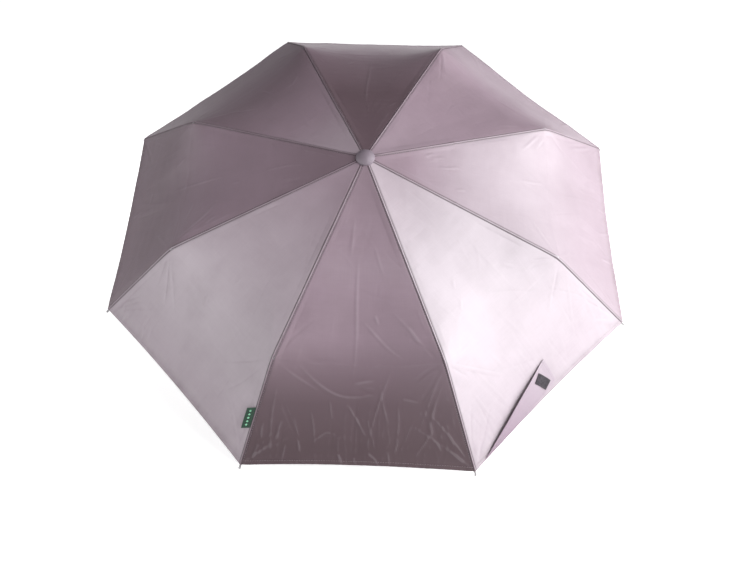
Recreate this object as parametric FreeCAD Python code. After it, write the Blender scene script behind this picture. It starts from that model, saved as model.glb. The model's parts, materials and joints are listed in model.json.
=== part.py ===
"""Open three-fold pocket umbrella, lying on two rib tips and the end of its handle.

Everything is modelled in the umbrella's own frame: the shaft is the Z axis, the apex points up, and
the tips of the eight ribs lie in the plane z = 0. The last step tilts the whole umbrella about X
until two tips and the handle's end touch the floor.
"""
import FreeCAD, Part
import math
import os

Vector = FreeCAD.Vector

# --- driving dimensions, mm and degrees ---------------------------------------------------------
RIB_COUNT = 8
FIRST_RIB_AZIMUTH = 247.5        # front left rib, counted anticlockwise from +X
TOP_RIB_LENGTH = 151.0           # crown pivot to first joint
MIDDLE_RIB_LENGTH = 180.0        # first joint to knee
TAIL_RIB_LENGTH = 193.6          # knee to the centre of the tip's ball
STRETCHER_LENGTH = 80.0          # runner pivot to its pivot on the top rib
OPEN_SLOPE = 13.15               # top and middle ribs below the horizontal, open
TAIL_SLOPE = 41.0                # tail rib below the horizontal, open
CLOSED_LEAN = 3.0                # each rib off the shaft's direction, folded

RIB_HALF_HEIGHT = 1.8
RIB_WIDTH = 1.5
LAP_GAP = 0.3                    # between two ribs that lie side by side
PIN_RADIUS = 0.6
PIN_CLEARANCE = 0.08
PIN_HEAD_WIDER = 0.5
PIN_HEAD_THICKNESS = 0.4
TAIL_ROD_RADIUS = 0.8
TAIL_EYE_LENGTH = 7.2            # flat end of the tail rib at the knee
WIRE_RADIUS = 0.6
WIRE_CLEARANCE = 0.2
TOE_LENGTH = 14.0                # open hook of a stretcher at the runner

TIP_BALL_RADIUS = 2.0
TIP_SLEEVE_WALL = 0.8
TIP_SLEEVE_LENGTH = 12.0

UPPER_TUBE_RADIUS = 5.8
UPPER_TUBE_SPARE = 0.7           # length past the folded runner
TUBE_WALL = 0.4
TUBE_GAP = 0.2                   # radial, between two telescoping tubes
MIDDLE_TUBE_SHOWN = 150.6
LOWER_TUBE_SHOWN = 138.0
MIDDLE_TUBE_OVERLAP = 22.0       # length held inside the upper tube when drawn out
LOWER_TUBE_OVERLAP = 20.0
MIDDLE_TUBE_LEFT_OUT = 6.0       # length that still shows when pushed in
LOWER_TUBE_LEFT_OUT = 4.0
SEAT_CLEARANCE = 0.02            # radial, on a tube glued into its seat

HUB_WALL = 1.6                   # of crown and runner, round the upper tube
HUB_TO_RIB = 0.8
DISC_RIM = 3.0                   # notched discs, outside the pivot circle
DISC_HALF_HEIGHT = 3.4
CROWN_HUB_DROP = 9.0
TUBE_IN_CROWN = 2.0              # end of the upper tube above the crown pivots
NOTCH_SIDE_GAP = 0.35
NOTCH_HUB_GAP = 0.2
RUNNER_CLEARANCE = 0.1
NECK_SPARE = 1.6                 # runner's slim neck, past the lowest place of the stretchers
GRIP_RING_PROUD = 3.1
GRIP_RING_MARGIN = 2.25          # above and below the button
BUTTON_RADIUS = 2.5
BUTTON_CLEARANCE = 0.15
BUTTON_PROUD = 1.4
BUTTON_TRAVEL = 1.0
BUTTON_BACK_GAP = 0.2
POCKET_WALL = 1.1                # between the button's pocket and the tube

HANDLE_RADIUS = 12.0
HANDLE_LENGTH = 62.0
HANDLE_END_ROUND = 4.0
HANDLE_TOP_ROUND = 2.0
HANDLE_SOCKET_DEPTH = 20.0
CORD_HOLE_RADIUS = 1.7
CORD_HOLE_FROM_END = 10.0

CLOTH_THICKNESS = 0.6
CLOTH_OVER_CROWN = 0.9           # cloth above the edge of the crown's disc
CLOTH_OVER_RIB = 1.2             # cloth above the ribs, at the knee and the tip
CLOTH_TIP_SETBACK = 8.0          # the cloth's corner ends short of the tip's ball
HEM_SCALLOP = 4.0
HEM_STRAIGHT_END = 3.0
TRIM_GAP = 0.3

CAP_RADIUS = 15.0
CAP_EDGE_HEIGHT = 2.0
CAP_DOME_HEIGHT = 7.0
CAP_STEM_RADIUS = 3.0
CAP_STEM_GAP = 1.5               # radial, from the stem to the cloth's apex hole

STRAP_PANEL = 2
STRAP_THICKNESS = 1.0
STRAP_ROOT = (-150.0, 3.0)       # (along the hem from its middle, up the cloth from the hem)
STRAP_HEM_END = (-57.0, 5.0)
STRAP_LOW_CORNER = (14.0, 18.0)
STRAP_HIGH_CORNER = (15.0, 67.0)

LABEL_PANEL = 8
LABEL_THICKNESS = 0.5
LABEL_LENGTH = 30.0
LABEL_WIDTH = 14.0
LABEL_FROM_HEM = 62.0            # lower edge of the label, up the cloth from the hem
LABEL_SEAM_GAP = 2.0

# --- derived places -----------------------------------------------------------------------------
GORE_ANGLE = 360.0 / RIB_COUNT
HALF_GORE = math.radians(GORE_ANGLE / 2)
SLOPE = math.radians(OPEN_SLOPE)
TAIL = math.radians(TAIL_SLOPE)

HUB_RADIUS = UPPER_TUBE_RADIUS + HUB_WALL
PIVOT_CIRCLE_RADIUS = HUB_RADIUS + HUB_TO_RIB + RIB_HALF_HEIGHT
DISC_RADIUS = PIVOT_CIRCLE_RADIUS + DISC_RIM
GRIP_RING_RADIUS = HUB_RADIUS + GRIP_RING_PROUD

KNEE_Z = TAIL_RIB_LENGTH * math.sin(TAIL)
CROWN_Z = KNEE_Z + (TOP_RIB_LENGTH + MIDDLE_RIB_LENGTH) * math.sin(SLOPE)


def along_open_rib(distance):
    """Point (radius, z) on the line of the top and middle ribs, at a distance from the crown pivot."""
    return (PIVOT_CIRCLE_RADIUS + distance * math.cos(SLOPE), CROWN_Z - distance * math.sin(SLOPE))


CROWN_PIVOT = along_open_rib(0.0)
STRETCHER_PIVOT = along_open_rib(STRETCHER_LENGTH)
FIRST_JOINT = along_open_rib(TOP_RIB_LENGTH)
KNEE = along_open_rib(TOP_RIB_LENGTH + MIDDLE_RIB_LENGTH)
TIP = (KNEE[0] + TAIL_RIB_LENGTH * math.cos(TAIL), 0.0)
RUNNER_PIVOT = (PIVOT_CIRCLE_RADIUS, CROWN_Z - 2 * STRETCHER_LENGTH * math.sin(SLOPE))

# how far each joint travels from open to folded
CLOSED = math.radians(90.0 - CLOSED_LEAN)
RUNNER_TRAVEL = 2 * STRETCHER_LENGTH * (math.sin(CLOSED) - math.sin(SLOPE))
TOP_RIB_TURN = math.degrees(CLOSED - SLOPE)
STRETCHER_TURN = -2 * TOP_RIB_TURN
MIDDLE_RIB_TURN = -math.degrees(CLOSED + SLOPE) - TOP_RIB_TURN
TAIL_RIB_TURN = math.degrees(CLOSED - TAIL) + math.degrees(CLOSED + SLOPE)

# the runner's steady drop is furthest from the stretchers' true drop at this slope of the ribs
DROP_RATE = (math.sin(CLOSED) - math.sin(SLOPE)) / (CLOSED - SLOPE)
WORST_SLOPE = math.acos(DROP_RATE)
STRETCHER_LAG = 2 * STRETCHER_LENGTH * (
    math.sin(WORST_SLOPE) - math.sin(SLOPE) - DROP_RATE * (WORST_SLOPE - SLOPE)
)
GRIP_TOP = RUNNER_PIVOT[1] - STRETCHER_LAG - RIB_HALF_HEIGHT - NECK_SPARE
GRIP_BOTTOM = GRIP_TOP - 2 * (BUTTON_RADIUS + GRIP_RING_MARGIN)
BUTTON_Z = (GRIP_TOP + GRIP_BOTTOM) / 2
POCKET_FLOOR = UPPER_TUBE_RADIUS + RUNNER_CLEARANCE + POCKET_WALL
BUTTON_INNER = POCKET_FLOOR + BUTTON_TRAVEL + BUTTON_BACK_GAP

UPPER_TUBE_TOP = CROWN_Z + TUBE_IN_CROWN
UPPER_TUBE_BOTTOM = GRIP_BOTTOM - RUNNER_TRAVEL - UPPER_TUBE_SPARE
MIDDLE_TUBE_BOTTOM = UPPER_TUBE_BOTTOM - MIDDLE_TUBE_SHOWN
LOWER_TUBE_BOTTOM = MIDDLE_TUBE_BOTTOM - LOWER_TUBE_SHOWN
HANDLE_BOTTOM = LOWER_TUBE_BOTTOM - HANDLE_LENGTH
MIDDLE_TUBE_RADIUS = UPPER_TUBE_RADIUS - TUBE_WALL - TUBE_GAP
LOWER_TUBE_RADIUS = MIDDLE_TUBE_RADIUS - TUBE_WALL - TUBE_GAP
MIDDLE_TUBE_TRAVEL = MIDDLE_TUBE_SHOWN - MIDDLE_TUBE_LEFT_OUT
LOWER_TUBE_TRAVEL = LOWER_TUBE_SHOWN - LOWER_TUBE_LEFT_OUT

# the lapped pieces along the tangent, as (low, high): top and tail ribs lie in the rib plane, and
# stretchers and middle ribs beside it
IN_PLANE = (-RIB_WIDTH / 2, RIB_WIDTH / 2)
BESIDE = (IN_PLANE[1] + LAP_GAP, IN_PLANE[1] + LAP_GAP + RIB_WIDTH)

CLOTH_HOLE_RADIUS = CAP_STEM_RADIUS + CAP_STEM_GAP
CLOTH_RIB_OFFSET = RIB_HALF_HEIGHT + CLOTH_OVER_RIB
CLOTH_APEX_RISE = (
    DISC_HALF_HEIGHT + CLOTH_OVER_CROWN + DISC_RADIUS * math.tan(SLOPE) / math.cos(HALF_GORE)
)

# the cloth's underside in a rib plane, from the apex hole over the knee to the corner
CLOTH_KNEE = (
    KNEE[0] + CLOTH_RIB_OFFSET * math.sin((SLOPE + TAIL) / 2),
    KNEE[1] + CLOTH_RIB_OFFSET * math.cos((SLOPE + TAIL) / 2),
)
CLOTH_APEX_Z = CROWN_Z + CLOTH_APEX_RISE
CLOTH_SLOPE = math.atan((CLOTH_APEX_Z - CLOTH_KNEE[1]) / CLOTH_KNEE[0])
CLOTH_CORNER = (
    TIP[0] - CLOTH_TIP_SETBACK * math.cos(TAIL) + CLOTH_RIB_OFFSET * math.sin(TAIL),
    TIP[1] + CLOTH_TIP_SETBACK * math.sin(TAIL) + CLOTH_RIB_OFFSET * math.cos(TAIL),
)
RIM_SLOPE = math.atan((CLOTH_KNEE[1] - CLOTH_CORNER[1]) / (CLOTH_CORNER[0] - CLOTH_KNEE[0]))

# tilt that brings the two front tips and the handle's end to one floor
REACH = TIP[0] * math.cos(HALF_GORE) - (HANDLE_RADIUS - HANDLE_END_ROUND)
DROP = -HANDLE_BOTTOM - HANDLE_END_ROUND
TILT = math.atan2(DROP, REACH) + math.asin(
    (HANDLE_END_ROUND - TIP_BALL_RADIUS) / math.hypot(REACH, DROP)
)
FLOOR = TIP[0] * math.cos(HALF_GORE) * math.sin(TILT) + TIP_BALL_RADIUS
SHAFT_UP = Vector(0, -math.sin(TILT), math.cos(TILT))


def rib_azimuth(number):
    return FIRST_RIB_AZIMUTH + GORE_ANGLE * (number - 1)


def in_row_frame(point):
    """A point of the umbrella's frame, once the umbrella lies on the floor."""
    x, y, z = point
    return Vector(
        x,
        y * math.cos(TILT) - z * math.sin(TILT),
        y * math.sin(TILT) + z * math.cos(TILT) + FLOOR,
    )


def lay_down(shape):
    laid = shape.copy()
    laid.rotate(Vector(0, 0, 0), Vector(1, 0, 0), math.degrees(TILT))
    laid.translate(Vector(0, 0, FLOOR))
    return laid


def at_azimuth(shape, azimuth):
    turned = shape.copy()
    turned.rotate(Vector(0, 0, 0), Vector(0, 0, 1), azimuth)
    return turned


def on_rib_plane(point, azimuth):
    """3-D point of a (radius, z) pair in the plane of the rib at this azimuth."""
    angle = math.radians(azimuth)
    return Vector(point[0] * math.cos(angle), point[0] * math.sin(angle), point[1])


# --- small builders, for a rib that points along +X ---------------------------------------------
def cross_cylinder(point, radius, low, high):
    """Cylinder across the rib plane, from one tangent place to another."""
    return Part.makeCylinder(radius, high - low, Vector(point[0], low, point[1]), Vector(0, 1, 0))


def strip(start, end, side, half_height=RIB_HALF_HEIGHT):
    """Flat bar with round ends, centred on the line from start to end."""
    along = Vector(end[0] - start[0], 0, end[1] - start[1])
    along.normalize()
    up = Vector(-along.z, 0, along.x)
    a = Vector(start[0], side[0], start[1])
    b = Vector(end[0], side[0], end[1])
    outline = [
        Part.LineSegment(a + up * half_height, b + up * half_height).toShape(),
        Part.Arc(b + up * half_height, b + along * half_height, b - up * half_height).toShape(),
        Part.LineSegment(b - up * half_height, a - up * half_height).toShape(),
        Part.Arc(a - up * half_height, a - along * half_height, a + up * half_height).toShape(),
    ]
    return Part.Face(Part.Wire(outline)).extrude(Vector(0, side[1] - side[0], 0))


def rivet_outwards(point):
    """Rivet of a piece in the rib plane, through its neighbour beside it."""
    shank_end = BESIDE[1] + LAP_GAP / 2
    shank = cross_cylinder(point, PIN_RADIUS, IN_PLANE[1] - RIB_WIDTH / 2, shank_end)
    head = cross_cylinder(point, PIN_RADIUS + PIN_HEAD_WIDER, shank_end, shank_end + PIN_HEAD_THICKNESS)
    return shank.fuse(head)


def rivet_inwards(point):
    """Rivet of a piece beside the rib plane, through its neighbour in it."""
    shank_end = IN_PLANE[0] - LAP_GAP / 2
    shank = cross_cylinder(point, PIN_RADIUS, shank_end, BESIDE[0] + RIB_WIDTH / 2)
    head = cross_cylinder(point, PIN_RADIUS + PIN_HEAD_WIDER, shank_end - PIN_HEAD_THICKNESS, shank_end)
    return shank.fuse(head)


def pin_hole(point, side):
    return cross_cylinder(point, PIN_RADIUS + PIN_CLEARANCE, side[0] - 1, side[1] + 1)


def wire_hole(point, side):
    return cross_cylinder(point, WIRE_RADIUS + WIRE_CLEARANCE, side[0] - 1, side[1] + 1)


# --- folding frame ------------------------------------------------------------------------------
def top_rib():
    bar = strip(CROWN_PIVOT, FIRST_JOINT, IN_PLANE).cut(wire_hole(CROWN_PIVOT, IN_PLANE))
    return bar.fuse(rivet_outwards(STRETCHER_PIVOT)).fuse(rivet_outwards(FIRST_JOINT))


def stretcher():
    """Its runner end is a slim toe that rests below the runner's wire and is open above it."""
    bar = strip(RUNNER_PIVOT, STRETCHER_PIVOT, BESIDE).cut(pin_hole(STRETCHER_PIVOT, BESIDE))
    above_toe = Part.makeBox(
        TOE_LENGTH + 2 * RIB_HALF_HEIGHT,
        2 * RIB_WIDTH,
        3 * RIB_HALF_HEIGHT,
        Vector(-2 * RIB_HALF_HEIGHT, 0, -WIRE_RADIUS - WIRE_CLEARANCE),
    )
    above_toe.rotate(Vector(0, 0, 0), Vector(0, 1, 0), -OPEN_SLOPE)
    above_toe.translate(Vector(RUNNER_PIVOT[0], BESIDE[0] - RIB_WIDTH / 2, RUNNER_PIVOT[1]))
    return bar.cut(above_toe)


def middle_rib():
    bar = strip(FIRST_JOINT, KNEE, BESIDE).cut(pin_hole(FIRST_JOINT, BESIDE))
    return bar.fuse(rivet_inwards(KNEE))


def tail_point(distance_from_tip):
    return (TIP[0] - distance_from_tip * math.cos(TAIL), TIP[1] + distance_from_tip * math.sin(TAIL))


def along_tail(radius, from_tip, length):
    """Cylinder on the tail rib's line, running outwards from a distance short of the tip."""
    start = tail_point(from_tip)
    return Part.makeCylinder(
        radius,
        length,
        Vector(start[0], 0, start[1]),
        Vector(math.cos(TAIL), 0, -math.sin(TAIL)),
    )


def tail_rib():
    rod_start = TAIL_RIB_LENGTH - TAIL_EYE_LENGTH
    eye = strip(KNEE, tail_point(rod_start), IN_PLANE).cut(pin_hole(KNEE, IN_PLANE))
    return eye.fuse(along_tail(TAIL_ROD_RADIUS, rod_start, rod_start - TIP_BALL_RADIUS))


def tip():
    """Crimped sleeve with a ball end, which the cloth's corner is sewn to."""
    sleeve = along_tail(TAIL_ROD_RADIUS + TIP_SLEEVE_WALL, TIP_SLEEVE_LENGTH, TIP_SLEEVE_LENGTH)
    end = tail_point(0)
    ball = Part.makeSphere(TIP_BALL_RADIUS, Vector(end[0], 0, end[1]))
    mouth = TIP_SLEEVE_LENGTH + 1
    blind_hole = along_tail(TAIL_ROD_RADIUS + SEAT_CLEARANCE, mouth, mouth - TIP_BALL_RADIUS)
    return sleeve.fuse(ball).cut(blind_hole)


# --- shaft, crown and runner --------------------------------------------------------------------
def upright(radius, bottom, top):
    return Part.makeCylinder(radius, top - bottom, Vector(0, 0, bottom))


def tube(radius, bottom, top):
    return upright(radius, bottom, top).cut(upright(radius - TUBE_WALL, bottom - 1, top + 1))


def notched_disc(pivot_z, side):
    """Disc with a wire groove round its rim and one through notch for each rib."""
    disc = upright(DISC_RADIUS, pivot_z - DISC_HALF_HEIGHT, pivot_z + DISC_HALF_HEIGHT)
    groove_floor = PIVOT_CIRCLE_RADIUS - WIRE_RADIUS - WIRE_CLEARANCE
    groove_half = WIRE_RADIUS + WIRE_CLEARANCE
    groove = upright(DISC_RADIUS + 1, pivot_z - groove_half, pivot_z + groove_half).cut(
        upright(groove_floor, pivot_z - 2 * groove_half, pivot_z + 2 * groove_half)
    )
    disc = disc.cut(groove)
    width = side[1] - side[0] + 2 * NOTCH_SIDE_GAP
    for number in range(RIB_COUNT):
        notch = Part.makeBox(
            DISC_RADIUS,
            width,
            4 * DISC_HALF_HEIGHT,
            Vector(HUB_RADIUS + NOTCH_HUB_GAP, side[0] - NOTCH_SIDE_GAP, pivot_z - 2 * DISC_HALF_HEIGHT),
        )
        disc = disc.cut(at_azimuth(notch, rib_azimuth(number + 1)))
    return disc


def wire_ring(pivot_z):
    return Part.makeTorus(PIVOT_CIRCLE_RADIUS, WIRE_RADIUS, Vector(0, 0, pivot_z))


def crown():
    hub = upright(HUB_RADIUS, CROWN_Z - CROWN_HUB_DROP, CROWN_Z + DISC_HALF_HEIGHT)
    body = notched_disc(CROWN_Z, IN_PLANE).fuse(hub)
    socket = upright(UPPER_TUBE_RADIUS + SEAT_CLEARANCE, CROWN_Z - 2 * CROWN_HUB_DROP, UPPER_TUBE_TOP)
    return body.cut(socket)


def towards_front(radius, inner, outer, z):
    """Radial cylinder on the front of the shaft."""
    return Part.makeCylinder(radius, outer - inner, Vector(0, -inner, z), Vector(0, -1, 0))


def runner():
    neck = upright(HUB_RADIUS, GRIP_BOTTOM, RUNNER_PIVOT[1] + DISC_HALF_HEIGHT)
    ring = upright(GRIP_RING_RADIUS, GRIP_BOTTOM, GRIP_TOP)
    body = notched_disc(RUNNER_PIVOT[1], BESIDE).fuse(neck).fuse(ring)
    bore = upright(UPPER_TUBE_RADIUS + RUNNER_CLEARANCE, GRIP_BOTTOM - 1, CROWN_Z)
    pocket = towards_front(BUTTON_RADIUS + BUTTON_CLEARANCE, POCKET_FLOOR, DISC_RADIUS, BUTTON_Z)
    return body.cut(bore).cut(pocket)


def runner_button():
    return towards_front(BUTTON_RADIUS, BUTTON_INNER, GRIP_RING_RADIUS + BUTTON_PROUD, BUTTON_Z)


def handle():
    grip = upright(HANDLE_RADIUS, HANDLE_BOTTOM, LOWER_TUBE_BOTTOM)
    for z, size in ((HANDLE_BOTTOM, HANDLE_END_ROUND), (LOWER_TUBE_BOTTOM, HANDLE_TOP_ROUND)):
        rim = [e for e in grip.Edges if e.BoundBox.ZLength < 0.01 and abs(e.BoundBox.ZMax - z) < 0.01]
        grip = grip.makeFillet(size, rim)
    socket = upright(
        LOWER_TUBE_RADIUS + SEAT_CLEARANCE, LOWER_TUBE_BOTTOM - HANDLE_SOCKET_DEPTH, LOWER_TUBE_BOTTOM + 1
    )
    cord_hole = Part.makeCylinder(
        CORD_HOLE_RADIUS,
        2 * HANDLE_RADIUS + 2,
        Vector(-HANDLE_RADIUS - 1, 0, HANDLE_BOTTOM + CORD_HOLE_FROM_END),
        Vector(1, 0, 0),
    )
    return grip.cut(socket).cut(cord_hole)


def top_cap():
    """Domed cap whose underside follows the cloth, on a stem that stands on the crown."""
    crown_top = CROWN_Z + DISC_HALF_HEIGHT
    lift = TRIM_GAP + CLOTH_THICKNESS * math.hypot(1, math.tan(CLOTH_SLOPE) / math.cos(HALF_GORE))

    def under(radius):
        return CLOTH_APEX_Z + lift - radius * math.tan(CLOTH_SLOPE)

    stem_top = Vector(CAP_STEM_RADIUS, 0, under(CAP_STEM_RADIUS))
    rim_low = Vector(CAP_RADIUS, 0, under(CAP_RADIUS))
    rim_high = Vector(CAP_RADIUS, 0, under(CAP_RADIUS) + CAP_EDGE_HEIGHT)
    peak = Vector(0, 0, rim_high.z + CAP_DOME_HEIGHT)
    dome_radius = (CAP_RADIUS ** 2 + CAP_DOME_HEIGHT ** 2) / (2 * CAP_DOME_HEIGHT)
    half_angle = math.asin(CAP_RADIUS / dome_radius) / 2
    shoulder = Vector(
        dome_radius * math.sin(half_angle), 0, peak.z - dome_radius * (1 - math.cos(half_angle))
    )
    foot = Vector(CAP_STEM_RADIUS, 0, crown_top)
    centre = Vector(0, 0, crown_top)
    outline = [
        Part.LineSegment(centre, foot).toShape(),
        Part.LineSegment(foot, stem_top).toShape(),
        Part.LineSegment(stem_top, rim_low).toShape(),
        Part.LineSegment(rim_low, rim_high).toShape(),
        Part.Arc(rim_high, shoulder, peak).toShape(),
        Part.LineSegment(peak, centre).toShape(),
    ]
    return Part.Face(Part.Wire(outline)).revolve(Vector(0, 0, 0), Vector(0, 0, 1), 360)


# --- cloth --------------------------------------------------------------------------------------
def cloth_top_profile():
    """The cloth's outer side in a rib plane, one thickness off each flat of the underside."""
    lift_in = CLOTH_THICKNESS * math.hypot(1, math.tan(CLOTH_SLOPE) / math.cos(HALF_GORE))
    lift_out = CLOTH_THICKNESS * math.hypot(1, math.tan(RIM_SLOPE) / math.cos(HALF_GORE))
    start_z = CLOTH_APEX_Z - CLOTH_HOLE_RADIUS * math.tan(CLOTH_SLOPE)
    past_knee = (lift_out - lift_in) / (math.tan(RIM_SLOPE) - math.tan(CLOTH_SLOPE))
    return [
        (CLOTH_HOLE_RADIUS, start_z + lift_in),
        (CLOTH_KNEE[0] + past_knee, CLOTH_KNEE[1] + lift_in - past_knee * math.tan(CLOTH_SLOPE)),
        (
            CLOTH_CORNER[0] + lift_out * math.sin(RIM_SLOPE) * math.cos(RIM_SLOPE),
            CLOTH_CORNER[1] + lift_out * math.cos(RIM_SLOPE) ** 2,
        ),
    ]


def cloth_under_profile():
    start_z = CLOTH_APEX_Z - CLOTH_HOLE_RADIUS * math.tan(CLOTH_SLOPE)
    return [(CLOTH_HOLE_RADIUS, start_z), CLOTH_KNEE, CLOTH_CORNER]


def rim_frame(number):
    """Middle of a panel's hem on its outer side, the way along it, up the cloth, and out of it."""
    corner = cloth_top_profile()[2]
    knee = cloth_top_profile()[1]
    first, second = rib_azimuth(number), rib_azimuth(number + 1)
    hem_middle = (on_rib_plane(corner, first) + on_rib_plane(corner, second)) * 0.5
    knee_middle = (on_rib_plane(knee, first) + on_rib_plane(knee, second)) * 0.5
    along = on_rib_plane(corner, second) - on_rib_plane(corner, first)
    along.normalize()
    up = knee_middle - hem_middle
    up.normalize()
    return hem_middle, along, up, along.cross(up)


def canopy_panel(number):
    """One gore: a flat triangle from the apex to the knees, and a steeper flat rim with a hem."""
    azimuths = (rib_azimuth(number), rib_azimuth(number + 1))
    under = [[on_rib_plane(p, a) for p in cloth_under_profile()] for a in azimuths]
    outer = [[on_rib_plane(p, a) for p in cloth_top_profile()] for a in azimuths]
    loops = []
    for sheet in (under, outer):
        for k in (0, 1):
            loops.append([sheet[0][k], sheet[1][k], sheet[1][k + 1], sheet[0][k + 1]])
    for side in (0, 1):
        loops.append(under[side] + outer[side][::-1])
    for k in (0, 2):
        loops.append([under[0][k], under[1][k], outer[1][k], outer[0][k]])
    faces = [Part.Face(Part.makePolygon(loop + [loop[0]])) for loop in loops]
    panel = Part.Solid(Part.Shell(faces))
    if panel.Volume < 0:
        panel.reverse()

    middle, along, up, out = rim_frame(number)
    half_chord = CLOTH_CORNER[0] * math.sin(HALF_GORE) - HEM_STRAIGHT_END
    radius = (half_chord ** 2 + HEM_SCALLOP ** 2) / (2 * HEM_SCALLOP)
    depth = 20 * CLOTH_THICKNESS
    centre = middle - up * (radius - HEM_SCALLOP) - out * (depth / 2)
    return panel.cut(Part.makeCylinder(radius, depth, centre, out))


def patch_on_rim(number, corners, thickness):
    """Thin flat piece that lies just off a panel's rim, given corners along and up the cloth."""
    middle, along, up, out = rim_frame(number)
    base = middle + out * TRIM_GAP
    points = [base + along * a + up * u for a, u in corners]
    return Part.Face(Part.makePolygon(points + [points[0]])).extrude(out * thickness)


def closing_strap():
    corners = [STRAP_ROOT, STRAP_HEM_END, STRAP_LOW_CORNER, STRAP_HIGH_CORNER]
    return patch_on_rim(STRAP_PANEL, corners, STRAP_THICKNESS)


def label():
    """Woven tab sewn into the seam at the panel's second rib."""
    half_hem = cloth_top_profile()[2][0] * math.sin(HALF_GORE)
    half_knee = cloth_top_profile()[1][0] * math.sin(HALF_GORE)
    rim_length = math.dist(cloth_top_profile()[1], cloth_top_profile()[2])
    rim_height = math.sqrt(rim_length ** 2 - (half_hem - half_knee) ** 2)

    def seam(up):
        return half_hem - (half_hem - half_knee) * up / rim_height - LABEL_SEAM_GAP

    low, high = LABEL_FROM_HEM, LABEL_FROM_HEM + LABEL_LENGTH
    corners = [
        (seam(low) - LABEL_WIDTH, low),
        (seam(low), low),
        (seam(high), high),
        (seam(high) - LABEL_WIDTH, high),
    ]
    return patch_on_rim(LABEL_PANEL, corners, LABEL_THICKNESS)


def build():
    nodes = {
        "top_cap": top_cap(),
        "crown": crown(),
        "crown_wire": wire_ring(CROWN_Z),
        "upper_tube": tube(UPPER_TUBE_RADIUS, UPPER_TUBE_BOTTOM, UPPER_TUBE_TOP),
        "middle_tube": tube(
            MIDDLE_TUBE_RADIUS, MIDDLE_TUBE_BOTTOM, UPPER_TUBE_BOTTOM + MIDDLE_TUBE_OVERLAP
        ),
        "lower_tube": tube(
            LOWER_TUBE_RADIUS,
            LOWER_TUBE_BOTTOM - HANDLE_SOCKET_DEPTH,
            MIDDLE_TUBE_BOTTOM + LOWER_TUBE_OVERLAP,
        ),
        "runner": runner(),
        "runner_wire": wire_ring(RUNNER_PIVOT[1]),
        "runner_button": runner_button(),
        "handle": handle(),
        "closing_strap": closing_strap(),
        "label": label(),
    }
    rib_pieces = {
        "top_rib": top_rib(),
        "stretcher": stretcher(),
        "middle_rib": middle_rib(),
        "tail_rib": tail_rib(),
        "tip": tip(),
    }
    for number in range(1, RIB_COUNT + 1):
        for name, piece in rib_pieces.items():
            nodes[f"{name}_{number}"] = at_azimuth(piece, rib_azimuth(number))
        nodes[f"canopy_panel_{number}"] = canopy_panel(number)
    return {name: lay_down(shape) for name, shape in nodes.items()}


def main():
    os.makedirs("parts", exist_ok=True)
    for name, shape in build().items():
        solid = shape.Solids[0] if len(shape.Solids) == 1 else shape
        solid.exportStep(f"parts/{name}.step")
        print(f"{name}: {len(shape.Solids)} solid, valid {shape.isValid()}, {shape.Volume:.1f} mm3")


if __name__ == "__main__":
    main()
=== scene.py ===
"""An open folding umbrella that lies on its rim and handle: cloth, trim and finishes round the frame."""
import json
import math

import bpy
import numpy as np
from mathutils import Matrix, Vector


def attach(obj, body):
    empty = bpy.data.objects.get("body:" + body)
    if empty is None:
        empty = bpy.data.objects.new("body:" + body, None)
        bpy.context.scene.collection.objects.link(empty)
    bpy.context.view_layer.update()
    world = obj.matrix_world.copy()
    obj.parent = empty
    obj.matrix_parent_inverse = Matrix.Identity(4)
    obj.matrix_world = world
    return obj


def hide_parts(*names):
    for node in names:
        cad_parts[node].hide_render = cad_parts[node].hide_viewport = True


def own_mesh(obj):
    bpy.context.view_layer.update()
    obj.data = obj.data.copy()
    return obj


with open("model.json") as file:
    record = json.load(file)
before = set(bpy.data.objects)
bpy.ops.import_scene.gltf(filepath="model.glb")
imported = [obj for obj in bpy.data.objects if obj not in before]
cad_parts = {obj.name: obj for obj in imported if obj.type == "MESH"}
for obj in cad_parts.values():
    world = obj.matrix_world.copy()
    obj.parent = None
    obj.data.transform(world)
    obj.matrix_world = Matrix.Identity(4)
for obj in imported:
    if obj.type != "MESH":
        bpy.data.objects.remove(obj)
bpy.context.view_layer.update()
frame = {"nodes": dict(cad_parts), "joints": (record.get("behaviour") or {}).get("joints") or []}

# --- sizes, in millimetres of the umbrella's own frame: shaft upright, tips on the plane z = 0
MM = 0.001
RIBS = range(1, 9)
HALF_GORE = math.radians(22.5)
FIRST_RIB_AZIMUTH = math.radians(247.5)
CROWN_HEIGHT = 202.316
FIRST_JOINT = (157.04, 167.963)
KNEE = (332.32, 127.013)
CLOTH_APEX = 209.903
CLOTH_KNEE = (333.686, 129.684)
CLOTH_CORNER = (474.363, 7.513)
CLOTH_HOLE = 4.6
CLOTH_THICKNESS = 0.45
HEM_THICKNESS = 1.1
HEM_WIDTH = 8.0
HEM_SCALLOP = 4.0
KNEE_ROUND_AT_RIB = 4.0
KNEE_ROUND_AT_MIDDLE = 38.0
SLACK_TOP = 2.0
SLACK_KNEE = 4.5
SLACK_KNEE_SPREAD = 95.0
BEAD_HEIGHT = 0.45
BEAD_HALF_WIDTH = 1.0
GROOVE_DEPTH = 0.5
GROOVE_AT = 2.3
GROOVE_HALF_WIDTH = 1.1
CREASE_DEPTH = 0.6               # share of the listed heights
CREASE_LEAST_WIDTH = 2.3
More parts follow.
